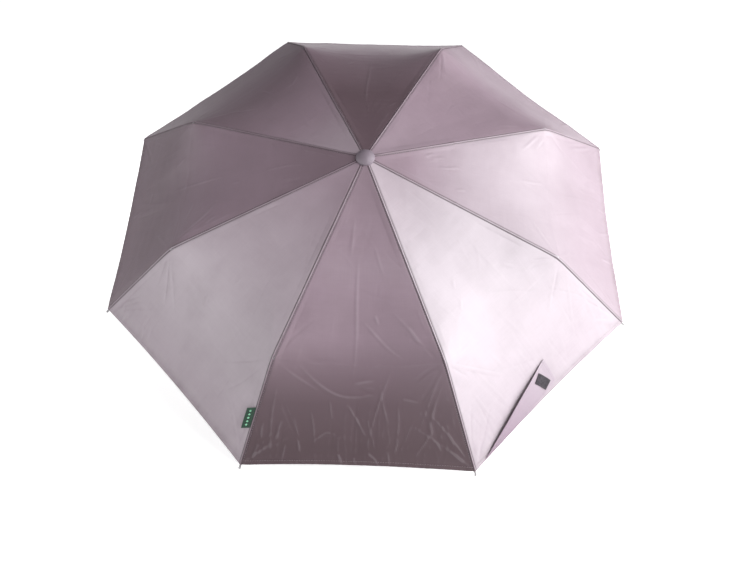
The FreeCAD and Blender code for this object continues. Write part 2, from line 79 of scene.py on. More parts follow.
# painted light: how bright each gore is drawn, from painted shade to painted sheen, at these distances from
# the crown
PAINTED_LIGHT_AT = (60, 170, 275, 325, 360, 412)
PAINTED_PANEL_LIGHT = {
    1: (0.87, 1.08, 0.91, 0.56, 0.36, 0.26), 2: (1.53, 1.88, 1.96, 1.85, 1.85, 1.74),
    3: (0.97, 1.45, 1.50, 1.37, 1.27, 1.20), 4: (1.10, 1.02, 0.90, 1.11, 1.32, 1.26),
    5: (0.41, 0.37, 0.59, 0.87, 0.98, 1.00), 6: (1.29, 0.93, 0.66, 0.77, 0.90, 0.93),
    7: (0.68, 0.90, 0.99, 0.77, 0.68, 0.73), 8: (1.10, 1.45, 1.66, 1.75, 1.76, 1.62),
}
PAINTED_LIGHT_LOW, PAINTED_LIGHT_HIGH = 0.25, 1.96
HEM_WRINKLES, LOOSE_WRINKLES = 34, 26
RELIEF_SEED = 5100

JOINTS = {joint["name"]: joint for joint in frame["joints"]}
SHAFT_UP = np.array(JOINTS["runner_slide"]["axis"])
ACROSS = np.array([1.0, 0.0, 0.0])
TOWARDS_BACK = np.cross(SHAFT_UP, ACROSS)
CROWN_PIVOTS = np.array([JOINTS[f"top_rib_{i}_hinge"]["pos_m"] for i in RIBS])
RIM_CENTRE = CROWN_PIVOTS.mean(0) - SHAFT_UP * CROWN_HEIGHT * MM


def to_row(points):
    """Points of the umbrella's own frame, in millimetres, as row frame points in metres."""
    points = np.asarray(points, float) * MM
    return RIM_CENTRE + points @ np.stack([ACROSS, TOWARDS_BACK, SHAFT_UP])


def turn_to_row(directions):
    return np.asarray(directions, float) @ np.stack([ACROSS, TOWARDS_BACK, SHAFT_UP])


def rib_azimuth(rib):
    return FIRST_RIB_AZIMUTH + 2 * HALF_GORE * (rib - 1)


# --- the cloth's surface
# A gore is the cloth between two ribs. Its places are (w, m): w across from the gore's middle line,
# m outwards along that line. t runs from -1 at its first rib to 1 at its second.
APEX_SLOPE = (CLOTH_APEX - CLOTH_KNEE[1]) / CLOTH_KNEE[0]
RIM_SLOPE = (CLOTH_KNEE[1] - CLOTH_CORNER[1]) / (CLOTH_CORNER[0] - CLOTH_KNEE[0])
HEM_LINE = CLOTH_CORNER[0] * math.cos(HALF_GORE)
KNEE_LINE = CLOTH_KNEE[0] * math.cos(HALF_GORE)
FIRST_LINE = FIRST_JOINT[0] * math.cos(HALF_GORE)
STEP = 0.8                       # reach either way over which a normal is taken
RIM_COSINE = math.cos(math.atan(RIM_SLOPE))
APEX_COSINE = math.cos(math.atan(APEX_SLOPE))

# Slack waves: height, length across, length along.
SLACK_WAVES = ((0.55, 70, 130), (0.10, 22, 34))
# Wrinkles that a corner pulls: where, how many, shortest, longest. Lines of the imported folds: where, depth.
CORNER_PULLS = ((HEM_LINE, 7, 35, 120), (KNEE_LINE, 5, 30, 95))
FOLD_LINES = ((FIRST_LINE, 0.10), (KNEE_LINE, 0.16))

# Creases that the cloth keeps, by gore: height, half width, then w and m of each point in turn.
CREASES = {
    1: [(0.5, 2.4, -13, 95, -16, 143, -18, 158), (0.7, 2.4, -6, 150, -6, 230, -4, 272, -8, 331),
        (0.4, 2.2, 18, 136, 27, 165, 35, 185), (0.7, 2.6, -8, 332, 9, 329, 26, 327),
        (0.8, 2.6, -92, 309, -66, 331, -31, 349, 4, 349, 27, 343),
        (-0.6, 3.4, -84, 301, -60, 304, -38, 301), (-0.6, 3.0, -5, 335, 9, 340, 27, 343),
        (0.7, 2.4, 7, 251, 42, 285, 68, 301), (0.8, 2.2, 22, 239, 28, 254),
        (0.6, 2.6, 47, 234, 82, 267, 111, 303), (0.6, 2.4, 72, 256, 84, 273, 93, 285),
        (0.5, 2.4, 84, 228, 99, 264), (0.7, 2.6, 32, 330, 37, 358, 48, 384),
        (0.6, 2.4, -43, 353, -39, 379), (0.9, 2.6, -17, 357, 1, 380, 12, 399),
        (0.7, 2.6, 60, 357, 63, 381, 58, 417), (0.8, 3.0, 116, 345, 113, 380, 109, 416),
        (0.6, 2.6, 88, 424, 116, 387), (0.9, 2.4, -30, 420, -23, 434), (0.7, 2.4, -6, 423, -3, 436),
        (1.0, 2.6, 15, 419, 26, 425, 33, 435), (0.8, 2.4, 46, 415, 50, 435),
        (0.9, 2.6, 117, 399, 129, 415), (1.0, 2.6, 141, 413, 163, 429),
        (0.9, 2.8, 133, 377, 143, 403, 156, 420), (0.7, 2.8, -143, 383, -150, 410),
        (0.8, 3.0, -115, 380, -126, 407), (0.6, 2.4, -91, 404, -89, 421),
        (0.7, 2.6, -70, 408, -49, 393, -31, 397), (0.6, 2.6, 65, 350, 91, 354),
        (0.8, 2.6, -163, 434, -153, 410), (0.7, 2.6, -118, 434, -110, 409)],
    2: [(0.5, 2.2, -28, 224, -37, 237), (0.5, 2.2, -38, 252, -51, 267), (0.5, 2.4, 51, 256, 66, 271),
        (0.5, 2.2, 66, 160, 63, 171)],
    3: [(0.7, 2.2, 15, 255, 16, 275, 22, 299), (0.6, 2.2, 5, 118, 7, 135, 14, 151),
        (0.6, 2.2, -34, 143, -30, 161), (0.8, 2.6, 110, 294, 92, 278, 72, 261),
        (0.7, 2.4, 111, 306, 92, 292, 80, 286), (1.0, 2.8, 33, 412, 30, 436),
        (1.0, 2.8, -22, 412, -12, 436), (1.0, 2.8, -74, 408, -73, 432), (0.5, 2.2, 20, 105, 27, 130),
        (0.5, 2.2, 21, 94, 31, 110)],
    4: [(0.5, 2.4, -72, 236, -85, 257, -98, 273), (0.8, 3.2, 150, 430, 128, 416, 81, 381),
        (0.8, 3.0, 20, 436, 7, 428, -27, 410), (0.5, 2.4, -59, 143, -60, 163)],
    5: [(0.5, 2.4, 0, 288, 1, 241, 6, 179, 1, 113), (0.5, 2.4, -50, 143, -30, 128),
        (0.5, 2.4, 27, 277, 47, 258)],
    6: [(0.6, 2.4, 69, 281, 52, 260, 30, 242), (0.7, 2.4, -71, 255, -46, 241, -32, 248),
        (0.6, 2.4, -55, 144, -40, 138), (0.5, 2.4, -7, 290, -12, 253)],
    7: [(1.1, 3.0, 46, 238, 67, 255, 89, 275, 109, 299), (0.6, 2.4, 35, 283, 70, 293),
        (0.6, 2.2, -5, 332, -3, 284, -4, 227), (0.5, 2.2, 14, 220, 14, 205),
        (0.5, 2.4, -66, 316, -53, 334), (0.7, 2.4, 8, 406, 7, 427), (0.4, 2.2, 0, 161, -4, 125, -1, 93),
        (0.7, 2.4, 75, 237, 89, 255), (0.5, 2.6, -30, 381, -1, 385)],
    8: [(0.5, 2.4, -5, 258, -6, 275), (0.8, 3.0, -137, 405, -144, 436), (0.8, 2.8, -90, 401, -80, 425),
        (0.5, 2.4, -31, 309, -28, 325), (0.5, 2.4, -117, 279, -100, 266),
        (0.7, 2.6, -103, 412, -89, 436)],
}

FIELD_ROWS, FIELD_COLUMNS, FIELD_MIDDLE = 452, 400, 200


def soft_noise(random, wave_across, wave_along):
    """Smooth random field of unit spread whose bumps are about that long, in millimetres."""
    grain = random.standard_normal((FIELD_ROWS, FIELD_COLUMNS))
    along = np.fft.fftfreq(FIELD_ROWS)[:, None] * wave_along
    across = np.fft.rfftfreq(FIELD_COLUMNS)[None, :] * wave_across
    field = np.fft.irfft2(np.fft.rfft2(grain) * np.exp(-(along**2 + across**2) * 2.5),
                          (FIELD_ROWS, FIELD_COLUMNS))
    return field / field.std()


def rounded(points):
    """The same line with its corners rounded, as cloth bends."""
    points = np.array(points, float)
    for _ in range(3 if len(points) > 2 else 0):
        quarter = points[:-1] * 0.75 + points[1:] * 0.25
        far = points[:-1] * 0.25 + points[1:] * 0.75
        cut = np.stack([quarter, far], 1).reshape(-1, 2)
        points = np.concatenate([points[:1], cut[1:-1], points[-1:]])
    return points


def press_crease(field, points, height, half_width):
    """Adds one crease, a narrow ridge or valley along a line that fades out at both ends."""
    points = rounded(points)
    half_width = max(half_width, CREASE_LEAST_WIDTH)
    reach = 4 * half_width
    low = np.floor(points.min(0) - reach).astype(int)
    high = np.ceil(points.max(0) + reach).astype(int)
    columns = np.arange(max(low[0], -FIELD_MIDDLE), min(high[0], FIELD_MIDDLE - 1) + 1)
    rows = np.arange(max(low[1], 0), min(high[1], FIELD_ROWS - 1) + 1)
    if len(columns) < 2 or len(rows) < 2:
        return
    w, m = np.meshgrid(columns, rows)
    nearest = np.full(w.shape, 1e9)
    place = np.zeros(w.shape)
    steps = np.linalg.norm(np.diff(points, axis=0), axis=1)
    gone = 0.0
    for start, way, length in zip(points[:-1], np.diff(points, axis=0), steps):
        share = np.clip(((w - start[0]) * way[0] + (m - start[1]) * way[1]) / length**2, 0, 1)
        away = np.hypot(w - start[0] - share * way[0], m - start[1] - share * way[1])
        closer = away < nearest
        nearest[closer] = away[closer]
        place[closer] = (gone + share * length)[closer]
        gone += length
    fade = np.sin(np.pi * np.clip(place / gone, 0, 1)) ** 0.8
    ridge = height * fade * np.exp(-((nearest / half_width) ** 2))
    field[rows[0]:rows[-1] + 1, columns[0] + FIELD_MIDDLE:columns[-1] + FIELD_MIDDLE + 1] += ridge


def gore_relief(gore):
    """Height map of one gore on a 1 mm grid: slack waves, kept creases, small wrinkles, hem puckers."""
    random = np.random.default_rng(RELIEF_SEED + gore)
    m = np.arange(FIELD_ROWS, dtype=float)[:, None]
    w = np.arange(FIELD_COLUMNS, dtype=float)[None, :] - FIELD_MIDDLE
    to_hem = HEM_LINE - m
    field = sum(height * soft_noise(random, *waves) for height, *waves in SLACK_WAVES)
    field += 0.10 * soft_noise(random, 9, 26) * np.exp(-np.clip(to_hem, 0, None) / 45)
    field += 0.06 * soft_noise(random, 26, 9)
    for height, half_width, *line in CREASES[gore]:
        press_crease(field, np.reshape(line, (-1, 2)), CREASE_DEPTH * height, half_width)
    busy = 1.0 if gore == 1 else 0.55

    def press_random(start, way, length, height, half_width, bend):
        middle = start + way * length / 2 + np.array([-way[1], way[0]]) * bend * length
        press_crease(field, [start, middle, start + way * length], height, half_width)

    for _ in range(int(HEM_WRINKLES * busy)):
        foot = random.uniform(-165, 165)
        lean = foot / 420 * random.uniform(-0.6, 1.2) + random.normal(0, 0.22)
        press_random(np.array([foot, random.uniform(405, 442)]),
                     np.array([math.sin(lean), -math.cos(lean)]), random.uniform(30, 110),
                     busy * random.uniform(0.10, 0.42) * random.choice([1, 1, -1]),
                     random.uniform(2.0, 3.0), random.normal(0, 0.04))
    for _ in range(LOOSE_WRINKLES):
        reach = random.uniform(70, 400)
        turn = random.choice([random.normal(math.pi / 2, 0.35), random.uniform(0, math.pi)])
        press_random(np.array([random.uniform(-0.8, 0.8) * reach * math.tan(HALF_GORE), reach]),
                     np.array([math.cos(turn), math.sin(turn)]), random.uniform(25, 105),
                     random.uniform(0.04, 0.16) * random.choice([1, -1]),
                     random.uniform(1.8, 3.2), random.normal(0, 0.05))
    for side in (-1, 1):
        for corner_m, count, low, high in CORNER_PULLS:
            corner = np.array([side * corner_m * math.tan(HALF_GORE), corner_m])
            for _ in range(count):
                lean = random.uniform(0.15, 1.15)
                inwards = -1 if corner_m == HEM_LINE or random.random() < 0.55 else 1
                way = np.array([-side * math.sin(lean), inwards * math.cos(lean)])
                press_random(corner + way * 6, way, random.uniform(low, high),
                             random.uniform(0.12, 0.42) * random.choice([1, -1]),
                             random.uniform(2.0, 3.4), random.normal(0, 0.03))
    ripple = np.cumsum(random.uniform(0.45, 0.85, FIELD_COLUMNS))
    ripple = np.sin(ripple) * (0.5 + 0.5 * np.sin(np.cumsum(random.uniform(0.02, 0.12, FIELD_COLUMNS))))
    field += 0.22 * ripple[None, :] * np.exp(-(np.clip(to_hem, 0, None) / 9.0))
    for line, depth in FOLD_LINES:
        wander = line + 2.5 * soft_noise(random, 60, 60)[0][None, :]
        field += depth * np.exp(-(((m - wander) / 2.6) ** 2)) * (0.4 + 0.6 * np.cos(w / 37.0 + gore) ** 2)
    near_rib = np.clip((m * math.tan(HALF_GORE) - np.abs(w)) * math.cos(HALF_GORE) / 11.0, 0, 1)
    near_cap = np.clip((m - 16) / 45, 0, 1)
    near_cap = near_cap * near_cap * (3 - 2 * near_cap)
    return field * near_rib * (0.25 + 0.75 * near_rib) * near_cap


RELIEF = {gore: gore_relief(gore) for gore in RIBS}


def read_field(field, w, m):
    """Reads a gore's 1 mm grid between its points."""
    row = np.clip(m, 0, FIELD_ROWS - 2.001)
    column = np.clip(w + FIELD_MIDDLE, 0, FIELD_COLUMNS - 2.001)
    r, c = row.astype(int), column.astype(int)
    fr, fc = row - r, column - c
    top = field[r, c] * (1 - fc) + field[r, c + 1] * fc
    low = field[r + 1, c] * (1 - fc) + field[r + 1, c + 1] * fc
    return top * (1 - fr) + low * fr


def across_share(w, m):
    return np.clip(w / np.maximum(m * math.tan(HALF_GORE), 1e-6), -1, 1)


def from_seam(w, m):
    """Distance from the nearer rib's line, in the plan."""
    return np.maximum(m * math.tan(HALF_GORE) - np.abs(w), 0) * math.cos(HALF_GORE)


def smooth_height(w, m):
    """The stretched cloth without its creases: straight between ribs, slack in the middle."""
    share = 1 - across_share(w, m) ** 2
    radius = m / math.cos(HALF_GORE)
    rounding = KNEE_ROUND_AT_RIB + (KNEE_ROUND_AT_MIDDLE - KNEE_ROUND_AT_RIB) * share
    past_knee = (radius - CLOTH_KNEE[0]) / rounding
    turned = rounding * np.logaddexp(0, past_knee)
    slack = SLACK_TOP + SLACK_KNEE * np.exp(-(((radius - CLOTH_KNEE[0]) / SLACK_KNEE_SPREAD) ** 2))
    slack *= share * np.clip(radius / 120, 0, 1)
    return CLOTH_APEX - APEX_SLOPE * radius - (RIM_SLOPE - APEX_SLOPE) * turned - slack


def seam_relief(w, m):
    """The sewn seam: a raised bead over the rib, pulled in on both sides, with ties at the joints."""
    away = from_seam(w, m)
    radius = m / math.cos(HALF_GORE)
    bead = BEAD_HEIGHT * np.exp(-((away / BEAD_HALF_WIDTH) ** 2))
    groove = GROOVE_DEPTH * np.exp(-(((away - GROOVE_AT) / GROOVE_HALF_WIDTH) ** 2))
    tie = sum(np.exp(-(((radius - at) / 2.2) ** 2)) for at in (FIRST_JOINT[0], CLOTH_KNEE[0] - 3))
    tie *= 0.7 * np.exp(-((away / 3.2) ** 2))
    return (bead - groove) * np.clip((radius - 12) / 20, 0, 1) + tie


def unit(directions):
    return directions / np.linalg.norm(directions, axis=-1, keepdims=True)


def on_gore(gore, w, m, z):
    """Points at (w, m) of a gore and at height z, in the umbrella's own frame."""
    azimuth = rib_azimuth(gore) + HALF_GORE
    return np.stack([m * math.cos(azimuth) - w * math.sin(azimuth),
                     m * math.sin(azimuth) + w * math.cos(azimuth), z], -1)


def off_rim(gore, w, m, rise, lift):
    """Points near the rim, raised a little and then lifted square to the cloth."""
    azimuth, slope = rib_azimuth(gore) + HALF_GORE, math.atan(RIM_SLOPE)
    flat = math.sin(slope)
    out = np.array([math.cos(azimuth) * flat, math.sin(azimuth) * flat, math.cos(slope)])
    return on_gore(gore, w, m, smooth_height(w, m) + rise) + out * lift[..., None]


def gore_point(gore, w, m):
    """Cloth's underside at (w, m) of one gore, in the umbrella's own frame."""
    slope = np.where(m > KNEE_LINE, RIM_COSINE, APEX_COSINE)
    lift = (read_field(RELIEF[gore], w, m) + seam_relief(w, m)) / slope
    return on_gore(gore, w, m, smooth_height(w, m) + lift)


def gore_normal(gore, w, m):
    along = gore_point(gore, w, m + STEP) - gore_point(gore, w, m - STEP)
    across = gore_point(gore, w + STEP, m) - gore_point(gore, w - STEP, m)
    return unit(np.cross(along, across))


def hem_at(t):
    return HEM_LINE - HEM_SCALLOP * (1 - t * t)


def hem_distance(w, m):
    return (hem_at(across_share(w, m)) - m) / RIM_COSINE


def cloth_thickness(to_hem):
    """The cloth's thickness, doubled over in the hem."""
    return CLOTH_THICKNESS + (HEM_THICKNESS - CLOTH_THICKNESS) * np.clip((HEM_WIDTH + 1 - to_hem) / 2, 0, 1)


def gores_of(rib):
    """The gore before a rib and the one after it."""
    return (rib - 2) % 8 + 1, rib


def petal_columns():
    """Shares across a petal, from one gore's middle line to the next: close beside the seam."""
    tight = np.array([0, 0.6, 1.2, 1.8, 2.4, 3.1, 4.0, 5.2, 7.0, 10.0])
    half_width = 400 * math.tan(HALF_GORE)
    wide = np.linspace(10.0, half_width, 66)[1:]
    side = np.concatenate([tight, wide]) / half_width
    return np.concatenate([-side[:0:-1], side])


COLUMNS = petal_columns()
SECTIONS = ("top", "middle", "tail")


def petal_grid(section):
    """Shares across one petal's section, and (w, m) of each of its points."""
    columns = COLUMNS[::2] if section == "top" else COLUMNS
    share = 1 - np.abs(columns)
    if section == "top":
        m = np.linspace(CLOTH_HOLE, FIRST_LINE, 48)[:, None] + 0 * share
    elif section == "middle":
        m = np.linspace(FIRST_LINE, KNEE_LINE, 62)[:, None] + 0 * share
    else:
        rows = np.concatenate([np.linspace(0, 0.93, 66), [0.943, 0.955, 0.966, 0.976, 0.985, 0.993, 1.0]])
        m = KNEE_LINE + (hem_at(share) - KNEE_LINE) * rows[:, None]
    side = np.where(columns >= 0, -1, 1)
    return columns, side * share * m * math.tan(HALF_GORE), m


def petal_section(rib, section):
    """Points, normals, thickness, and what the finish reads, for one section of a petal."""
    columns, w, m = petal_grid(section)
    shape = w.shape
    points, normals = np.zeros(shape + (3,)), np.zeros(shape + (3,))
    ridge = np.zeros(shape)
    middle = len(columns) // 2
    before, after = gores_of(rib)
    for gore, part in ((before, slice(0, middle + 1)), (after, slice(middle, None))):
        points[:, part] = gore_point(gore, w[:, part], m[:, part])
        normal = gore_normal(gore, w[:, part], m[:, part])
        field = RELIEF[gore]
        around = sum(read_field(field, w[:, part] + a, m[:, part] + b)
                     for a, b in ((3, 0), (-3, 0), (0, 3), (0, -3))) / 4
        ridge[:, part] = read_field(field, w[:, part], m[:, part]) - around
        if gore == before:
            seam_normal = normal[:, -1].copy()
            normals[:, part] = normal
        else:
            joined = seam_normal + normal[:, 0]
            normals[:, part] = normal
            normals[:, middle] = unit(joined)
    to_hem = hem_distance(w, m)
    # painted sheen and painted shade: each gore's tone from the table, dark where shade is painted, pale
    # where sheen is painted
    painted_light = np.zeros(shape)
    for gore, part in ((before, slice(0, middle)), (after, slice(middle, None))):
        painted_light[:, part] = np.interp(m[:, part], PAINTED_LIGHT_AT, PAINTED_PANEL_LIGHT[gore])
    painted_light[:, middle] = 0.5 * (painted_light[:, middle - 1] + painted_light[:, middle + 1])
    painted_light = (painted_light - PAINTED_LIGHT_LOW) / (PAINTED_LIGHT_HIGH - PAINTED_LIGHT_LOW)
    uv_w = np.where(columns >= 0, w, w + 400) + 900 * (rib % 2)
    return {"points": points, "normals": normals, "thickness": cloth_thickness(to_hem), "ridge": ridge,
            "painted_light": painted_light, "seam": from_seam(w, m), "to_hem": to_hem, "uv": np.stack([uv_w * MM, m * MM], -1)}


def in_scene(name, data):
    thing = bpy.data.objects.new(name, data)
    bpy.context.scene.collection.objects.link(thing)
    return thing


def new_mesh_object(name, vertices, faces):
    mesh = bpy.data.meshes.new(name)
    mesh.from_pydata([tuple(v) for v in vertices], [], [tuple(f) for f in faces])
    mesh.update()
    return in_scene(name, mesh)


def shell(name, points, normals, thickness, masks, uv):
    """Closed thin cloth from a grid: its outer face, its lining face and the cut edges."""
    rows, columns = thickness.shape
    count = rows * columns
    outer = points + normals * thickness[..., None]
    # the underside lies at points, and the outer face stands off it
    vertices = to_row(np.concatenate([outer.reshape(-1, 3), points.reshape(-1, 3)]))
    turned = turn_to_row(normals.reshape(-1, 3))
    index = np.arange(count).reshape(rows, columns)
    a, b, c, d = index[:-1, :-1], index[1:, :-1], index[1:, 1:], index[:-1, 1:]
    top = np.stack([a, b, c, d], -1).reshape(-1, 4)
    under = np.stack([a, d, c, b], -1).reshape(-1, 4) + count
    edge = np.concatenate([index[0, :], index[1:, -1], index[-1, -2::-1], index[-2:0:-1, 0]])
    after = np.roll(edge, -1)
    wall = np.stack([edge, after, after + count, edge + count], -1)
    probe = np.cross(vertices[top[0][1]] - vertices[top[0][0]], vertices[top[0][3]] - vertices[top[0][0]])
    if probe @ turned[top[0][0]] < 0:
        top, under, wall = top[:, ::-1], under[:, ::-1], wall[:, ::-1]
    faces = np.concatenate([top, under, wall])
    piece = new_mesh_object(name, vertices.tolist(), faces.tolist())
    mesh = piece.data
    mesh.shade_smooth()
    corners = faces.reshape(-1)
    corner_normals = np.concatenate([turned, -turned])[corners]
    first = (len(top) + len(under)) * 4
    for k, face in enumerate(wall):
        side = np.cross(vertices[face[1]] - vertices[face[0]], vertices[face[3]] - vertices[face[0]])
        corner_normals[first + 4 * k:first + 4 * k + 4] = side / max(np.linalg.norm(side), 1e-12)
    mesh.normals_split_custom_set(corner_normals.tolist())
    layer = mesh.uv_layers.new(name="cut")
    flat = uv.reshape(-1, 2)
    layer.data.foreach_set("uv", np.concatenate([flat, flat])[corners].reshape(-1))
    for mask, values in masks.items():
        attribute = mesh.attributes.new(mask, "FLOAT", "POINT")
        one = values.reshape(-1)
        attribute.data.foreach_set("value", np.concatenate([one, one]).astype(np.float32))
    return piece


# --- node groups and finishes
class Bench:
    """Small helper that places nodes and wires them."""

    def __init__(self, tree):
        self.nodes, self.links = tree.nodes, tree.links

    def add(self, kind, **settings):
        node = self.nodes.new(kind)
        inputs = settings.pop("inputs", {})
        for key, value in settings.items():
            setattr(node, key, value)
        for key, value in inputs.items():
            if isinstance(value, bpy.types.NodeSocket):
                self.links.new(value, node.inputs[key])
            else:
                node.inputs[key].default_value = value
        return node

    def math(self, operation, a, b=0.0, c=None):
        inputs = {0: a, 1: b} if c is None else {0: a, 1: b, 2: c}
        return self.add("ShaderNodeMath", operation=operation, inputs=inputs).outputs[0]

    def ramp(self, value, low, high, out_low=0.0, out_high=1.0):
        return self.add("ShaderNodeMapRange", inputs={
            "Value": value, "From Min": low, "From Max": high, "To Min": out_low, "To Max": out_high,
        }).outputs["Result"]

    def noise(self, vector, scale, detail=3.0, rough=0.5):
        return self.add("ShaderNodeTexNoise", inputs={
            "Vector": vector, "Scale": scale, "Detail": detail, "Roughness": rough}).outputs["Fac"]

    def stretch(self, vector, scale):
        return self.add("ShaderNodeMapping", inputs={"Vector": vector, "Scale": scale}).outputs["Vector"]

    def mix(self, share, a, b):
        return self.add("ShaderNodeMix", data_type="RGBA", inputs={0: share, 6: a, 7: b}).outputs[2]

    def tint(self, base, mask, share, colour):
        """The base colour, tinted where a mask is high."""
        return self.mix(self.math("MULTIPLY", mask, share), base, colour)

    def own_place(self):
        return self.add("ShaderNodeTexCoord").outputs["Object"]

    def give(self, result, **values):
        """Wires a group's outputs."""
        for name, value in values.items():
            self.links.new(value, result[name])

    def surface(self, shader, colour, rough, strength, distance, height):
        """Wires colour, roughness and relief into a Principled shader."""
        bump = self.add("ShaderNodeBump", inputs={
            "Strength": strength, "Distance": distance, "Height": height})
        self.links.new(colour, shader.inputs["Base Color"])
        self.links.new(rough, shader.inputs["Roughness"])
        self.links.new(bump.outputs[0], shader.inputs["Normal"])


def new_group(name, outputs, **sizes):
    """A node group that reads a place and named sizes, and puts out masks and values."""
    tree = bpy.data.node_groups.new(name, "ShaderNodeTree")
    tree.interface.new_socket("Vector", in_out="INPUT", socket_type="NodeSocketVector")
    for label, size in sizes.items():
        socket = tree.interface.new_socket(
            label.replace("_", " "), in_out="INPUT", socket_type="NodeSocketFloat")
        socket.default_value = size
    for label in outputs:
        tree.interface.new_socket(label, in_out="OUTPUT", socket_type="NodeSocketFloat")
    given = tree.nodes.new("NodeGroupInput").outputs
    result = tree.nodes.new("NodeGroupOutput").inputs
    return tree, Bench(tree), given, result


def group_plain_weave():
    """Fine woven threads: height for the bump, and thread to thread shade."""
    tree, bench, given, result = new_group(
        "woven_threads", ("Height", "Shade"), Threads_per_metre=1600.0, Slub=0.5)
    flat = bench.add("ShaderNodeSeparateXYZ", inputs={0: given["Vector"]}).outputs
    turns = bench.math("MULTIPLY", given["Threads per metre"], 2 * math.pi)
    warp = bench.math("SINE", bench.math("MULTIPLY", flat[0], turns))
    weft = bench.math("SINE", bench.math("MULTIPLY", flat[1], turns))
    crossing = bench.math("MULTIPLY", warp, weft)
    slub_across = bench.noise(bench.stretch(given["Vector"], (25, 900, 1)), 1.0, 2.0)
    slub_along = bench.noise(bench.stretch(given["Vector"], (900, 25, 1)), 1.0, 2.0)
    slub = bench.math("ADD", slub_across, slub_along)
    slub = bench.math("MULTIPLY", bench.math("SUBTRACT", slub, 1.0), given["Slub"])
    bench.give(result, Height=bench.math("MULTIPLY_ADD", crossing, 0.35, slub),
               Shade=bench.math("ADD", slub, 0.5))
    return tree


def group_grime():
    """Cloudy dirt mask that gathers where the second input says."""
    tree, bench, given, result = new_group(
        "handling_grime", ("Mask",), Size=14.0, Where=0.0, Amount=0.5)
    cloud = bench.noise(given["Vector"], given["Size"], 5.0, 0.62)
    cloud = bench.ramp(cloud, 0.42, 0.68)
    gathered = bench.math("ADD", bench.math("MULTIPLY", cloud, 0.35),
                          bench.math("MULTIPLY", given["Where"], bench.math("ADD", cloud, 0.35)))
    mask = bench.add("ShaderNodeClamp", inputs={0: bench.math("MULTIPLY", gathered, given["Amount"])})
    bench.links.new(mask.outputs[0], result["Mask"])
    return tree


def group_edge_rub():
    """Mask of the sharp outer edges, broken up by noise, where a finish rubs off."""
    tree, bench, given, result = new_group("rubbed_edges", ("Mask",), Radius=0.0006, Size=220.0)
    rounded = bench.add("ShaderNodeBevel", samples=4, inputs={"Radius": given["Radius"]}).outputs[0]
    plain = bench.add("ShaderNodeNewGeometry").outputs["Normal"]
    facing = bench.add("ShaderNodeVectorMath", operation="DOT_PRODUCT", inputs={0: rounded, 1: plain})
    edge = bench.ramp(facing.outputs["Value"], 0.985, 0.86)
    broken = bench.ramp(bench.noise(given["Vector"], given["Size"], 4.0, 0.6), 0.42, 0.62)
    bench.links.new(bench.math("MULTIPLY", edge, broken), result["Mask"])
    return tree


def group_drawn_metal():
    """Fine lengthwise lines of drawn or rolled metal, with small scratches and dull patches."""
    tree, bench, given, result = new_group(
        "drawn_metal", ("Height", "Roughness", "Dull"), Lines=900.0, Roughness=0.3)
    scale = bench.add("ShaderNodeVectorMath", operation="SCALE", inputs={
        0: given["Vector"], "Scale": given["Lines"]}).outputs[0]
    lines = bench.noise(bench.stretch(scale, (1, 0.03, 0.03)), 1.0, 3.0, 0.7)
    other = bench.noise(bench.stretch(scale, (0.05, 1, 0.4)), 1.0, 2.0, 0.6)
    dull = bench.ramp(bench.noise(given["Vector"], 55.0, 5.0, 0.6), 0.45, 0.7)
    height = bench.math("MULTIPLY_ADD", lines, 0.7, bench.math("MULTIPLY", other, 0.3))
    rough = bench.math("MULTIPLY_ADD", bench.math("SUBTRACT", height, 0.5), 0.35, given["Roughness"])
    rough = bench.math("MULTIPLY_ADD", dull, 0.16, rough)
    bench.give(result, Height=height, Roughness=rough, Dull=dull)
    return tree


def group_moulded():
    """Moulded plastic or rubber: fine pebble grain, faint flow marks and small scuffs."""
    tree, bench, given, result = new_group(
        "moulded_grain", ("Height", "Roughness", "Scuff"), Grain=1400.0, Roughness=0.5)
    grain = bench.add("ShaderNodeTexVoronoi", inputs={
        "Vector": given["Vector"], "Scale": given["Grain"]}).outputs["Distance"]
    flow = bench.noise(bench.stretch(given["Vector"], (60, 60, 240)), 1.0, 3.0)
    scratch = bench.noise(bench.stretch(given["Vector"], (160, 2400, 700)), 1.0, 2.0, 0.7)
    scuff = bench.ramp(scratch, 0.62, 0.72)
    rough = bench.math("MULTIPLY_ADD", flow, 0.14, given["Roughness"])
    rough = bench.math("MULTIPLY_ADD", scuff, 0.12, rough)
    height = bench.math("SUBTRACT", grain, bench.math("MULTIPLY", scuff, 0.4))
    bench.give(result, Height=height, Roughness=rough, Scuff=scuff)
    return tree


WOVEN = group_plain_weave()
GRIME = group_grime()
EDGE_RUB = group_edge_rub()
DRAWN = group_drawn_metal()
MOULDED = group_moulded()


def new_finish(name, **constants):
    """A Principled material with plain values on its own sockets."""
    material = bpy.data.materials.new(name)
    material.use_nodes = True
    bench = Bench(material.node_tree)
    shader = material.node_tree.nodes["Principled BSDF"]
    for key, value in constants.items():
        shader.inputs[key.replace("_", " ").title().replace("Ior", "IOR")].default_value = value
    return material, bench, shader


def place_group(bench, tree, **inputs):
    node = bench.add("ShaderNodeGroup", node_tree=tree)
    for key, value in inputs.items():
        socket = node.inputs[key.replace("_", " ")]
        if isinstance(value, bpy.types.NodeSocket):
            bench.links.new(value, socket)
        else:
            socket.default_value = value
    return node.outputs


def attribute(bench, name):
    return bench.add("ShaderNodeAttribute", attribute_name=name).outputs["Fac"]


def rgb(red, green, blue):
    """Colour from its everyday 0 to 255 values."""
    def linear(value):
        value /= 255
        return value / 12.92 if value <= 0.04045 else ((value + 0.055) / 1.055) ** 2.4
    return (linear(red), linear(green), linear(blue), 1.0)


